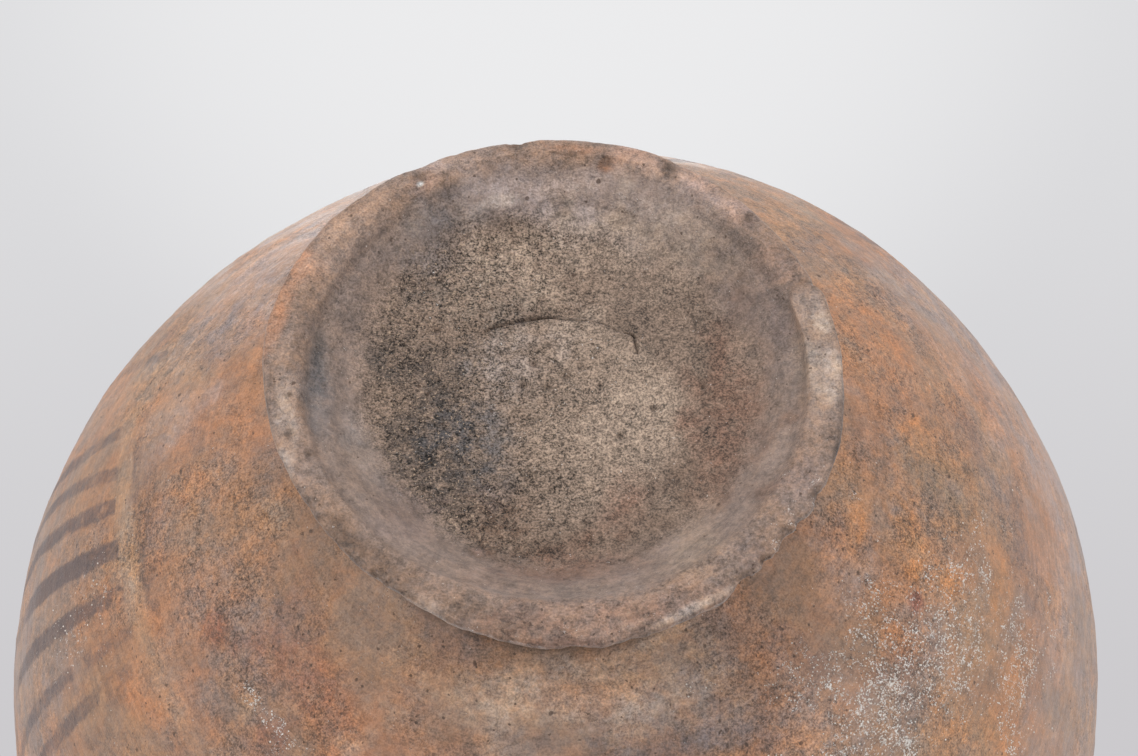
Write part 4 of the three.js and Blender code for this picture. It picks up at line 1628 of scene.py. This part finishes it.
@dataclass(frozen=True)
class ClayEffects:
    """The effects that every finish of the jar shares, each a node group built once."""

    grain: bpy.types.NodeTree
    specks: bpy.types.NodeTree
    firing: bpy.types.NodeTree
    wiping: bpy.types.NodeTree
    flaking: bpy.types.NodeTree
    crust: bpy.types.NodeTree

    @classmethod
    def build(cls) -> "ClayEffects":
        """Builds every group."""
        return cls(
            cls.make_grain(),
            cls.make_specks(),
            cls.make_firing(),
            cls.make_wiping(),
            cls.make_flaking(),
            cls.make_crust(),
        )

    @staticmethod
    def make_grain() -> bpy.types.NodeTree:
        """Grains of a third of a millimetre, lumps of one and swathes of three, from -1 to 1."""
        graph, given, result = new_group(
            "clay_grain", {"Vector": VECTOR}, {"Sharp": FLOAT, "Lumps": FLOAT, "Swathes": FLOAT}
        )
        place = given.outputs["Vector"]
        for name, scale, detail, edge in (
            ("Sharp", 2700, 2, 0.13),
            ("Lumps", 950, 3, 0.13),
            ("Swathes", 300, 4, 0.15),
        ):
            value = graph.noise(place, scale, detail, 0.66)
            graph.tree.links.new(graph.ease(value, 0.5 - edge, 0.5 + edge, -1, 1), result.inputs[name])
        return graph.tree

    @staticmethod
    def make_specks() -> bpy.types.NodeTree:
        """Dark crumbs, pale crumbs and a few dark grains with torn edges."""
        graph, given, result = new_group(
            "clay_specks", {"Vector": VECTOR, "Amount": FLOAT}, {"Dark": FLOAT, "Pale": FLOAT, "Grain": FLOAT}
        )
        place, amount = given.outputs["Vector"], given.outputs["Amount"]
        drift = graph.ease(graph.noise(place, 190, 4, 0.65), 0.36, 0.62)
        moved = graph.add("ShaderNodeVectorMath", {0: place, 1: (0.41, 0.23, 0.67)}, operation="ADD").outputs[0]
        plenty = graph.math("MULTIPLY", amount, drift)
        crumb = graph.noise(place, 1700, 4, 0.75)
        low = graph.math("MULTIPLY_ADD", plenty, -0.1, 0.62)
        dark = graph.ease(crumb, low, graph.math("ADD", low, 0.07))
        graph.tree.links.new(graph.math("MULTIPLY", dark, amount, clamp=True), result.inputs["Dark"])
        pale = graph.ease(graph.noise(moved, 1900, 3, 0.7), 0.57, 0.67)
        graph.tree.links.new(graph.math("MULTIPLY", pale, 0.8), result.inputs["Pale"])
        torn = graph.add(
            "ShaderNodeVectorMath",
            {0: graph.add("ShaderNodeTexNoise", {"Vector": place, "Scale": 1500, "Detail": 2}).outputs[1], "Scale": 0.0007},
            operation="SCALE",
        ).outputs[0]
        bent = graph.add("ShaderNodeVectorMath", {0: place, 1: torn}, operation="ADD").outputs[0]
        dots = []
        for scale, share in ((620, 0.07), (1050, 0.3)):
            distance, chance = graph.cells(bent, scale)
            here = graph.math("LESS_THAN", chance, graph.math("MULTIPLY", plenty, share))
            dots.append(graph.math("MULTIPLY", here, graph.ease(distance, 0.32, 0.18)))
        graph.tree.links.new(graph.math("MAXIMUM", *dots), result.inputs["Grain"])
        return graph.tree

    @staticmethod
    def make_firing() -> bpy.types.NodeTree:
        """Uneven firing: how far stains take, about 1, and warmth and shade about nought."""
        graph, given, result = new_group(
            "clay_firing", {"Vector": VECTOR}, {"Take": FLOAT, "Warmth": FLOAT, "Shade": FLOAT}
        )
        place = given.outputs["Vector"]
        moved = graph.add("ShaderNodeVectorMath", {0: place, 1: (0.37, 0.11, 0.23)}, operation="ADD").outputs[0]
        take = graph.ease(graph.noise(place, 330, 5, 0.68), 0.38, 0.6, 0.4, 1.15)
        fine = graph.ease(graph.noise(moved, 820, 4, 0.7), 0.4, 0.6, -1, 1)
        broad = graph.ease(graph.noise(place, 150, 6, 0.7), 0.38, 0.62, -1, 1)
        warmth = graph.math("MULTIPLY_ADD", fine, 0.3, graph.math("MULTIPLY", broad, 0.6))
        clouds = graph.ease(graph.noise(moved, 120, 6, 0.68), 0.36, 0.64, -1, 1)
        for name, socket in (("Take", take), ("Warmth", warmth), ("Shade", clouds)):
            graph.tree.links.new(socket, result.inputs[name])
        return graph.tree

    @staticmethod
    def make_wiping() -> bpy.types.NodeTree:
        """Streaks that the wet hand left, running round the jar."""
        graph, given, result = new_group("clay_wiping", {"Wipe": VECTOR}, {"Streak": FLOAT})
        wide = graph.noise(given.outputs["Wipe"], 0.6, 3, 0.6)
        thin = graph.noise(given.outputs["Wipe"], 2.1, 3, 0.7)
        wide, thin = (graph.math("SUBTRACT", streak, 0.5) for streak in (wide, thin))
        graph.tree.links.new(graph.math("ADD", wide, thin), result.inputs["Streak"])
        return graph.tree

    @staticmethod
    def make_flaking() -> bpy.types.NodeTree:
        """Paint that has flaked and rubbed off in crumbs."""
        graph, given, result = new_group(
            "worn_paint", {"Vector": VECTOR, "Amount": FLOAT}, {"Cover": FLOAT}
        )
        place, amount = given.outputs["Vector"], given.outputs["Amount"]
        crumbs = graph.noise(place, 800, 5, 0.75)
        patches = graph.noise(place, 210, 3, 0.6)
        worn = graph.math("MULTIPLY_ADD", patches, 0.6, crumbs)
        reach = graph.math("MULTIPLY_ADD", amount, 1.1, graph.math("MULTIPLY", worn, -0.9))
        cover = graph.ease(reach, -0.5, 0.32)
        shown = graph.ease(amount, 0.02, 0.2)
        graph.tree.links.new(graph.math("MULTIPLY", cover, shown), result.inputs["Cover"])
        return graph.tree

    @staticmethod
    def make_crust() -> bpy.types.NodeTree:
        """Lime from the ground: flecks and curls of white."""
        graph, given, result = new_group(
            "lime_crust", {"Vector": VECTOR, "Amount": FLOAT}, {"Fleck": FLOAT}
        )
        place, amount = given.outputs["Vector"], given.outputs["Amount"]
        dust = graph.noise(place, 2100, 3, 0.75)
        cloud = graph.noise(place, 520, 5, 0.75)
        level = graph.math("MULTIPLY_ADD", cloud, 0.55, dust)
        edge = graph.math("MULTIPLY_ADD", amount, -0.15, 0.99)
        fleck = graph.ease(level, edge, graph.math("ADD", edge, 0.05))
        curl = graph.math("ABSOLUTE", graph.math("SUBTRACT", graph.noise(place, 1300, 1, 0.5), 0.5))
        curl = graph.math("MULTIPLY", graph.ease(curl, 0.03, 0.01), graph.ease(cloud, 0.53, 0.62))
        curl = graph.math("MULTIPLY", curl, graph.ease(amount, 0.1, 0.6))
        fleck = graph.math("MAXIMUM", fleck, curl)
        graph.tree.links.new(fleck, result.inputs["Fleck"])
        return graph.tree


@dataclass(frozen=True)
class ClayFinish:
    """The look of one slot's fired clay, laid over the colours and masks of the mesh."""

    slot: Slot
    effects: ClayEffects
    warm_tint: tuple[float, float, float] = (0.16, -0.01, -0.24)
    streaks: float = 0.5
    roughness: float = 0.66
    specular: float = 0.4
    dust: float = 0.12
    bump: float = 0.14

    def material(self) -> bpy.types.Material:
        """Builds the finish's material, or gives the one that was built before."""
        name = self.slot.value + "_finish"
        made = bpy.data.materials.get(name)
        return made if made else self.lay_out(bpy.data.materials.new(name))

    def group(self, graph: Graph, tree: bpy.types.NodeTree, values: dict[str, object]) -> bpy.types.bpy_prop_collection:
        """Puts one of the shared effects into the material and gives its outputs."""
        node = graph.add("ShaderNodeGroup", {}, node_tree=tree)
        for name, value in values.items():
            graph.tree.links.new(value, node.inputs[name])
        return node.outputs

    def lay_out(self, material: bpy.types.Material) -> bpy.types.Material:
        """Lays out the nodes.

        Args:
            material: An empty material.

        Returns:
            The same material.
        """
        material.use_nodes = True
        material.node_tree.nodes.clear()
        graph = Graph(material.node_tree)
        place = graph.add("ShaderNodeTexCoord").outputs["Object"]
        wipe = graph.add("ShaderNodeAttribute", attribute_name="wipe").outputs["Vector"]
        tone = graph.add("ShaderNodeAttribute", attribute_name="tone").outputs["Color"]
        ground = graph.add("ShaderNodeAttribute", attribute_name="ground").outputs["Color"]
        grit, pepper, polish = (graph.mask(name) for name in ("grit", "pepper", "polish"))
        grain = self.group(graph, self.effects.grain, {"Vector": place})
        firing = self.group(graph, self.effects.firing, {"Vector": place})
        specks = self.group(graph, self.effects.specks, {"Vector": place, "Amount": pepper})
        wiping = self.group(graph, self.effects.wiping, {"Wipe": wipe})
        flaking = self.group(graph, self.effects.flaking, {"Vector": place, "Amount": graph.mask("paint")})
        crust = self.group(graph, self.effects.crust, {"Vector": place, "Amount": graph.mask("lime")})
        smoothed = graph.math("SUBTRACT", 1.0, grit, clamp=True)

        spread = graph.math("MULTIPLY_ADD", grit, 0.4, 0.6)
        take = graph.math("MULTIPLY_ADD", graph.math("SUBTRACT", firing["Take"], 1.0), spread, 1.0)
        gap = graph.vector("SUBTRACT", tone, ground)
        stained = graph.vector("ADD", ground, graph.scaled(gap, take))
        stained = graph.vector("MAXIMUM", stained, (0.03, 0.027, 0.026))
        warmth = graph.math("MULTIPLY", firing["Warmth"], graph.mask("hue"))
        tint = graph.vector("ADD", graph.scaled(self.warm_tint, warmth), (1, 1, 1))
        stained = graph.vector("MULTIPLY", stained, tint)

        coarse = graph.weighed(((grain["Sharp"], 0.31), (grain["Lumps"], 0.17), (grain["Swathes"], 0.1)))
        mottle = graph.weighed(((grain["Lumps"], 0.11), (grain["Swathes"], 0.17)))
        soft = graph.weighed(((grain["Sharp"], 0.3), (grain["Lumps"], 0.12)))
        streak = graph.math("MULTIPLY", wiping["Streak"], smoothed)
        shade = graph.math("MULTIPLY_ADD", coarse, grit, 1.0)
        shade = graph.math("MULTIPLY_ADD", mottle, graph.mask("mottle"), shade)
        shade = graph.math("MULTIPLY_ADD", soft, pepper, shade)
        shade = graph.math("MULTIPLY_ADD", firing["Shade"], 0.09, shade)
        shade = graph.math("MULTIPLY_ADD", streak, self.streaks, shade)
        shade = graph.math("MAXIMUM", shade, 0.12)
        colour = graph.scaled(stained, shade)

        paint = (*linear((80, 68, 70)), 1)
        dark = (*linear((70, 52, 42)), 1)
        pale = (*linear((196, 170, 146)), 1)
        white = (*linear((236, 231, 227)), 1)
        crumbs = graph.math("MULTIPLY", specks["Pale"], graph.mask("crumb"))
        colour = graph.mix(graph.math("MULTIPLY", crumbs, 0.75), colour, pale)
        colour = graph.mix(graph.math("MULTIPLY", flaking["Cover"], 0.78), colour, paint)
        colour = graph.mix(graph.math("MULTIPLY", specks["Dark"], 0.45), colour, dark)
        colour = graph.mix(graph.math("MULTIPLY", specks["Grain"], 0.75), colour, dark)
        colour = graph.mix(graph.math("MULTIPLY", crust["Fleck"], 0.92), colour, white)

        rough = graph.math("MULTIPLY_ADD", grit, 0.22, self.roughness)
        rough = graph.math("MULTIPLY_ADD", polish, -0.26, rough)
        rough = graph.math("MULTIPLY_ADD", firing["Shade"], 0.06, rough, clamp=True)
        bare = graph.math("MULTIPLY_ADD", grit, 0.8, 0.22)
        height = graph.math("MULTIPLY", graph.weighed(((grain["Sharp"], 0.3), (grain["Lumps"], 0.5))), bare)
        height = graph.math("MULTIPLY_ADD", streak, 0.5, height)
        pits = graph.math("MULTIPLY_ADD", specks["Grain"], 0.9, specks["Dark"])
        height = graph.math("MULTIPLY_ADD", pits, -0.35, height)
        height = graph.math("MULTIPLY_ADD", crust["Fleck"], 0.4, height)
        bump = graph.add("ShaderNodeBump", {"Strength": 1.0, "Distance": self.bump * MM, "Height": height})
        inputs = {
            "Base Color": colour,
            "Roughness": rough,
            "Specular IOR Level": self.specular,
            "Sheen Weight": self.dust,
            "Sheen Roughness": 0.45,
            "Normal": bump.outputs[0],
        }
        shader = graph.add("ShaderNodeBsdfPrincipled", inputs)
        graph.add("ShaderNodeOutputMaterial", {"Surface": shader.outputs[0]})
        return material


@dataclass
class LimeGrains:
    """Grains of lime stuck to the wall, strewn where the crust is thickest."""

    density: float = 6500000.0
    grain: float = 0.15
    clump: float = 420.0
    seed: int = 5

    def tree(self) -> bpy.types.NodeTree:
        """Builds the tree that strews the grains over a surface."""
        tree = bpy.data.node_groups.new("strewn_lime", "GeometryNodeTree")
        for label, kind in (
            ("Geometry", "NodeSocketGeometry"),
            ("Density", FLOAT),
            ("Grain", FLOAT),
            ("Clump", FLOAT),
            ("Seed", "NodeSocketInt"),
            ("Finish", "NodeSocketMaterial"),
        ):
            tree.interface.new_socket(label, in_out="INPUT", socket_type=kind)
        tree.interface.new_socket("Geometry", in_out="OUTPUT", socket_type="NodeSocketGeometry")
        graph = Graph(tree)
        given = graph.add("NodeGroupInput").outputs
        thick = graph.add("GeometryNodeInputNamedAttribute", {"Name": "lime"}, data_type="FLOAT").outputs[0]
        clumps = graph.add(
            "ShaderNodeTexNoise",
            {"Vector": graph.add("GeometryNodeInputPosition").outputs[0], "Scale": given["Clump"], "Detail": 5.0},
        ).outputs[0]
        amount = graph.math("MULTIPLY", graph.math("POWER", thick, 2.0), given["Density"])
        amount = graph.math("MULTIPLY", amount, graph.ease(clumps, 0.47, 0.66))
        points = graph.add(
            "GeometryNodeDistributePointsOnFaces",
            {"Mesh": given["Geometry"], "Density": amount, "Seed": given["Seed"]},
            distribute_method="RANDOM",
        )
        ball = graph.add("GeometryNodeMeshIcoSphere", {"Radius": 1.0, "Subdivisions": 1})
        size = graph.add("FunctionNodeRandomValue", {2: 0.3, 3: 1.4, "Seed": given["Seed"]}, data_type="FLOAT")
        turn = graph.add("FunctionNodeRandomValue", {0: (0, 0, 0), 1: (6.28, 6.28, 6.28)}, data_type="FLOAT_VECTOR")
        scale = graph.math("MULTIPLY", size.outputs[1], given["Grain"])
        strewn = graph.add(
            "GeometryNodeInstanceOnPoints",
            {
                "Points": points.outputs["Points"],
                "Instance": ball.outputs["Mesh"],
                "Rotation": turn.outputs[0],
                "Scale": scale,
            },
        )
        real = graph.add("GeometryNodeRealizeInstances", {"Geometry": strewn.outputs[0]})
        dressed = graph.add(
            "GeometryNodeSetMaterial", {"Geometry": real.outputs[0], "Material": given["Finish"]}
        )
        graph.add("NodeGroupOutput", {"Geometry": dressed.outputs[0]})
        return tree

    def finish(self) -> bpy.types.Material:
        """Chalky white with a little unevenness."""
        material = bpy.data.materials.new("lime_finish")
        material.use_nodes = True
        material.node_tree.nodes.clear()
        graph = Graph(material.node_tree)
        place = graph.add("ShaderNodeTexCoord").outputs["Object"]
        share = graph.noise(place, 500, 3, 0.6)
        colour = graph.mix(share, (*Clay.CHALK.linear, 1), (*Clay.WHITE.linear, 1))
        shader = graph.add("ShaderNodeBsdfPrincipled", {"Base Color": colour, "Roughness": 0.9})
        graph.add("ShaderNodeOutputMaterial", {"Surface": shader.outputs[0]})
        return material

    def build(self, carrier: bpy.types.Object) -> bpy.types.Object:
        """Strews grains over a member and makes them one plain mesh.

        Args:
            carrier: The member that carries them.

        Returns:
            The grains.
        """
        tree = self.tree()
        holder = bpy.data.objects.new("lime_holder", carrier.data)
        bpy.context.scene.collection.objects.link(holder)
        modifier = holder.modifiers.new("lime", "NODES")
        modifier.node_group = tree
        values = {
            "Density": self.density,
            "Grain": self.grain * MM,
            "Clump": self.clump,
            "Seed": self.seed,
            "Finish": self.finish(),
        }
        for item in tree.interface.items_tree:
            if item.in_out == "INPUT" and item.name in values:
                modifier[item.identifier] = values[item.name]
        evaluated = holder.evaluated_get(bpy.context.evaluated_depsgraph_get())
        mesh = bpy.data.meshes.new_from_object(evaluated)
        bpy.data.objects.remove(holder)
        piece = bpy.data.objects.new("lime_on_" + carrier.name, mesh)
        bpy.context.scene.collection.objects.link(piece)
        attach(piece, "root")
        LOG.info("%s: %d faces", piece.name, len(mesh.polygons))
        return piece


@dataclass(frozen=True)
class Viewpoint:
    """The photograph's camera, under the foot and in front of it."""

    elevation: float = 60.36
    distance: float = 0.49965
    pan: float = -0.29
    tilt: float = 0.02
    roll: float = 0.69
    focal_pixels: float = 2900.0
    frame_width: int = 1138
    sensor: float = 36.0

    def axes(self) -> tuple[Vector, Vector, Vector]:
        """The direction of view, the picture's right and its top, before small turns."""
        angle = math.radians(self.elevation)
        ahead = Vector((0, math.cos(angle), math.sin(angle)))
        top = Vector((0, math.sin(angle), -math.cos(angle)))
        return ahead, ahead.cross(top), top

    def build(self) -> bpy.types.Object:
        """Makes the scene's camera."""
        ahead, right, top = self.axes()
        place = -ahead * self.distance
        pan = Matrix.Rotation(math.radians(self.pan), 3, top)
        ahead, right = pan @ ahead, pan @ right
        tilt = Matrix.Rotation(math.radians(self.tilt), 3, right)
        ahead, top = tilt @ ahead, tilt @ top
        roll = Matrix.Rotation(math.radians(self.roll), 3, ahead)
        right, top = roll @ right, roll @ top
        data = bpy.data.cameras.new("viewpoint")
        data.sensor_width = self.sensor
        data.lens = self.focal_pixels / self.frame_width * self.sensor
        data.clip_start = 0.01
        camera = bpy.data.objects.new("viewpoint", data)
        turn = Matrix((right, top, -ahead)).transposed().to_4x4()
        camera.matrix_world = Matrix.Translation(place) @ turn
        bpy.context.scene.collection.objects.link(camera)
        bpy.context.scene.camera = camera
        return camera


@dataclass(frozen=True)
class Studio:
    """A pale floor, a pale surround and soft boxes."""

    view: Viewpoint
    fill: float = 0.5
    floor_size: float = 4.0
    fade_start: float = 0.35
    fade_end: float = 1.7

    def lamp(self, name: str, place: Vector, power: float, size: float) -> None:
        """Hangs a soft box that faces the jar."""
        data = bpy.data.lights.new(name, "AREA")
        data.energy = power
        data.shape = "DISK"
        data.size = size
        lamp = bpy.data.objects.new(name, data)
        target = Vector((0, 0, 0.06))
        lamp.matrix_world = Matrix.Translation(place) @ (place - target).to_track_quat("Z", "Y").to_matrix().to_4x4()
        bpy.context.scene.collection.objects.link(lamp)

    def light(self) -> None:
        """Hangs the soft boxes: three round the camera and three above the jar."""
        ahead, right, top = self.view.axes()
        middle = Vector((0, 0, 0.06))
        self.lamp("below_left", middle - ahead * 0.75 - right * 0.75 + top * 0.35, 5.0, 0.6)
        self.lamp("below_right", middle - ahead * 0.75 + right * 0.75 + top * 0.3, 4.0, 0.6)
        self.lamp("below_top", middle - ahead * 0.3 + top * 1.0, 5.0, 0.7)
        self.lamp("above_left", Vector((0.7, -0.8, 0.9)), 7.0, 0.7)
        self.lamp("above_right", Vector((-0.9, -0.5, 0.8)), 5.0, 0.7)
        self.lamp("above_back", Vector((0.1, 1.0, 0.9)), 5.0, 0.7)

    def surround(self) -> None:
        """Lights the jar evenly, and shows the camera a pale backdrop that is lighter at the top."""
        world = bpy.data.worlds.new("surround")
        bpy.context.scene.world = world
        world.use_nodes = True
        world.node_tree.nodes.clear()
        graph = Graph(world.node_tree)
        way = graph.add("ShaderNodeTexCoord").outputs["Generated"]
        ahead, right, top = self.view.axes()
        glow = (ahead + top * 0.16).normalized()
        sides = graph.add("ShaderNodeVectorMath", {0: way, 1: tuple(glow)}, operation="DOT_PRODUCT").outputs["Value"]
        rise = graph.add("ShaderNodeVectorMath", {0: way, 1: tuple(top)}, operation="DOT_PRODUCT").outputs["Value"]
        low, high = (*linear((203, 201, 204)), 1), (*linear((222, 222, 224)), 1)
        colour = graph.mix(graph.ease(rise, -0.16, 0.14), low, high)
        bright = (*linear((240, 240, 241)), 1)
        colour = graph.mix(graph.ease(sides, 0.978, 1.0, 0, 0.75), colour, bright)
        shown = graph.add("ShaderNodeBackground", {"Color": colour, "Strength": 1.0})
        lit = graph.add("ShaderNodeBackground", {"Color": (1, 1, 1, 1), "Strength": self.fill})
        path = graph.add("ShaderNodeLightPath").outputs
        seen = graph.math("MAXIMUM", path["Is Camera Ray"], path["Is Glossy Ray"])
        seen = graph.math("MAXIMUM", seen, path["Is Transmission Ray"])
        mixed = graph.add("ShaderNodeMixShader", {0: seen, 1: lit.outputs[0], 2: shown.outputs[0]})
        graph.add("ShaderNodeOutputWorld", {"Surface": mixed.outputs[0]})

    def floor(self) -> None:
        """Lays the floor, which shows only to what looks down on it."""
        half = self.floor_size / 2
        mesh = bpy.data.meshes.new("floor")
        mesh.from_pydata([(-half, -half, 0), (half, -half, 0), (half, half, 0), (-half, half, 0)], [], [(0, 1, 2, 3)])
        material = bpy.data.materials.new("floor_paper")
        material.use_nodes = True
        material.node_tree.nodes.clear()
        graph = Graph(material.node_tree)
        paper = graph.add("ShaderNodeBsdfPrincipled", {"Base Color": (*linear((224, 224, 226)), 1), "Roughness": 0.9})
        clear = graph.add("ShaderNodeBsdfTransparent")
        path = graph.add("ShaderNodeLightPath").outputs
        seen = graph.math("MAXIMUM", path["Is Camera Ray"], path["Is Glossy Ray"])
        seen = graph.math("MAXIMUM", seen, path["Is Transmission Ray"])
        below = graph.add("ShaderNodeNewGeometry").outputs["Backfacing"]
        share = graph.math("MULTIPLY", seen, graph.math("SUBTRACT", 1.0, below))
        place = graph.add("ShaderNodeTexCoord").outputs["Object"]
        reach = graph.add("ShaderNodeVectorMath", {0: place}, operation="LENGTH").outputs["Value"]
        share = graph.math("MULTIPLY", share, graph.ease(reach, self.fade_end, self.fade_start))
        mixed = graph.add("ShaderNodeMixShader", {0: share, 1: clear.outputs[0], 2: paper.outputs[0]})
        graph.add("ShaderNodeOutputMaterial", {"Surface": mixed.outputs[0]})
        mesh.materials.append(material)
        floor = bpy.data.objects.new("floor", mesh)
        bpy.context.scene.collection.objects.link(floor)

    def build(self) -> None:
        """Sets up light, surround and floor."""
        self.light()
        self.surround()
        self.floor()
        bpy.context.scene.view_settings.view_transform = "Standard"


def main() -> None:
    """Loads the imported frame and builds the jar, its stage and its camera."""
    logging.basicConfig(level=logging.INFO, format="%(message)s")
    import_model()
    view = Viewpoint()
    view.build()
    Studio(view).build()
    form = JarForm()
    relief = Relief(form)
    craft = Craft(form, Unevenness(), relief, Patina(form, relief, Painting(form)))
    effects = ClayEffects.build()
    finishes = {slot: ClayFinish(slot, effects) for slot in Slot}
    seams = [form.lower_seam(0.22), form.lower_seam(0.6), form.belly_height]
    seams += [form.upper_seam(0.28), form.upper_seam(0.55)]
    members = [
        BaseDisc(craft),
        LowerBowl(craft),
        FootRing(craft),
        FootLip(craft),
        Strap(craft, "lower_strap", facets=720, low=seams[0], high=seams[1], spacing=0.85),
        Strap(craft, "lower_belly", facets=640, low=seams[1], high=seams[2]),
        Strap(craft, "upper_belly", low=seams[2], high=seams[3], upper=True),
        Strap(craft, "upper_strap", low=seams[3], high=seams[4], upper=True),
        Shoulder(craft),
        Neck(craft),
        RimCoil(craft),
    ]
    grains = LimeGrains()
    for member in members:
        piece = member.build()
        member.dress(piece, finishes[member.slot])
        if member.node in ("lower_bowl", "lower_strap"):
            grains.build(piece)


if __name__ == "__main__":
    main()
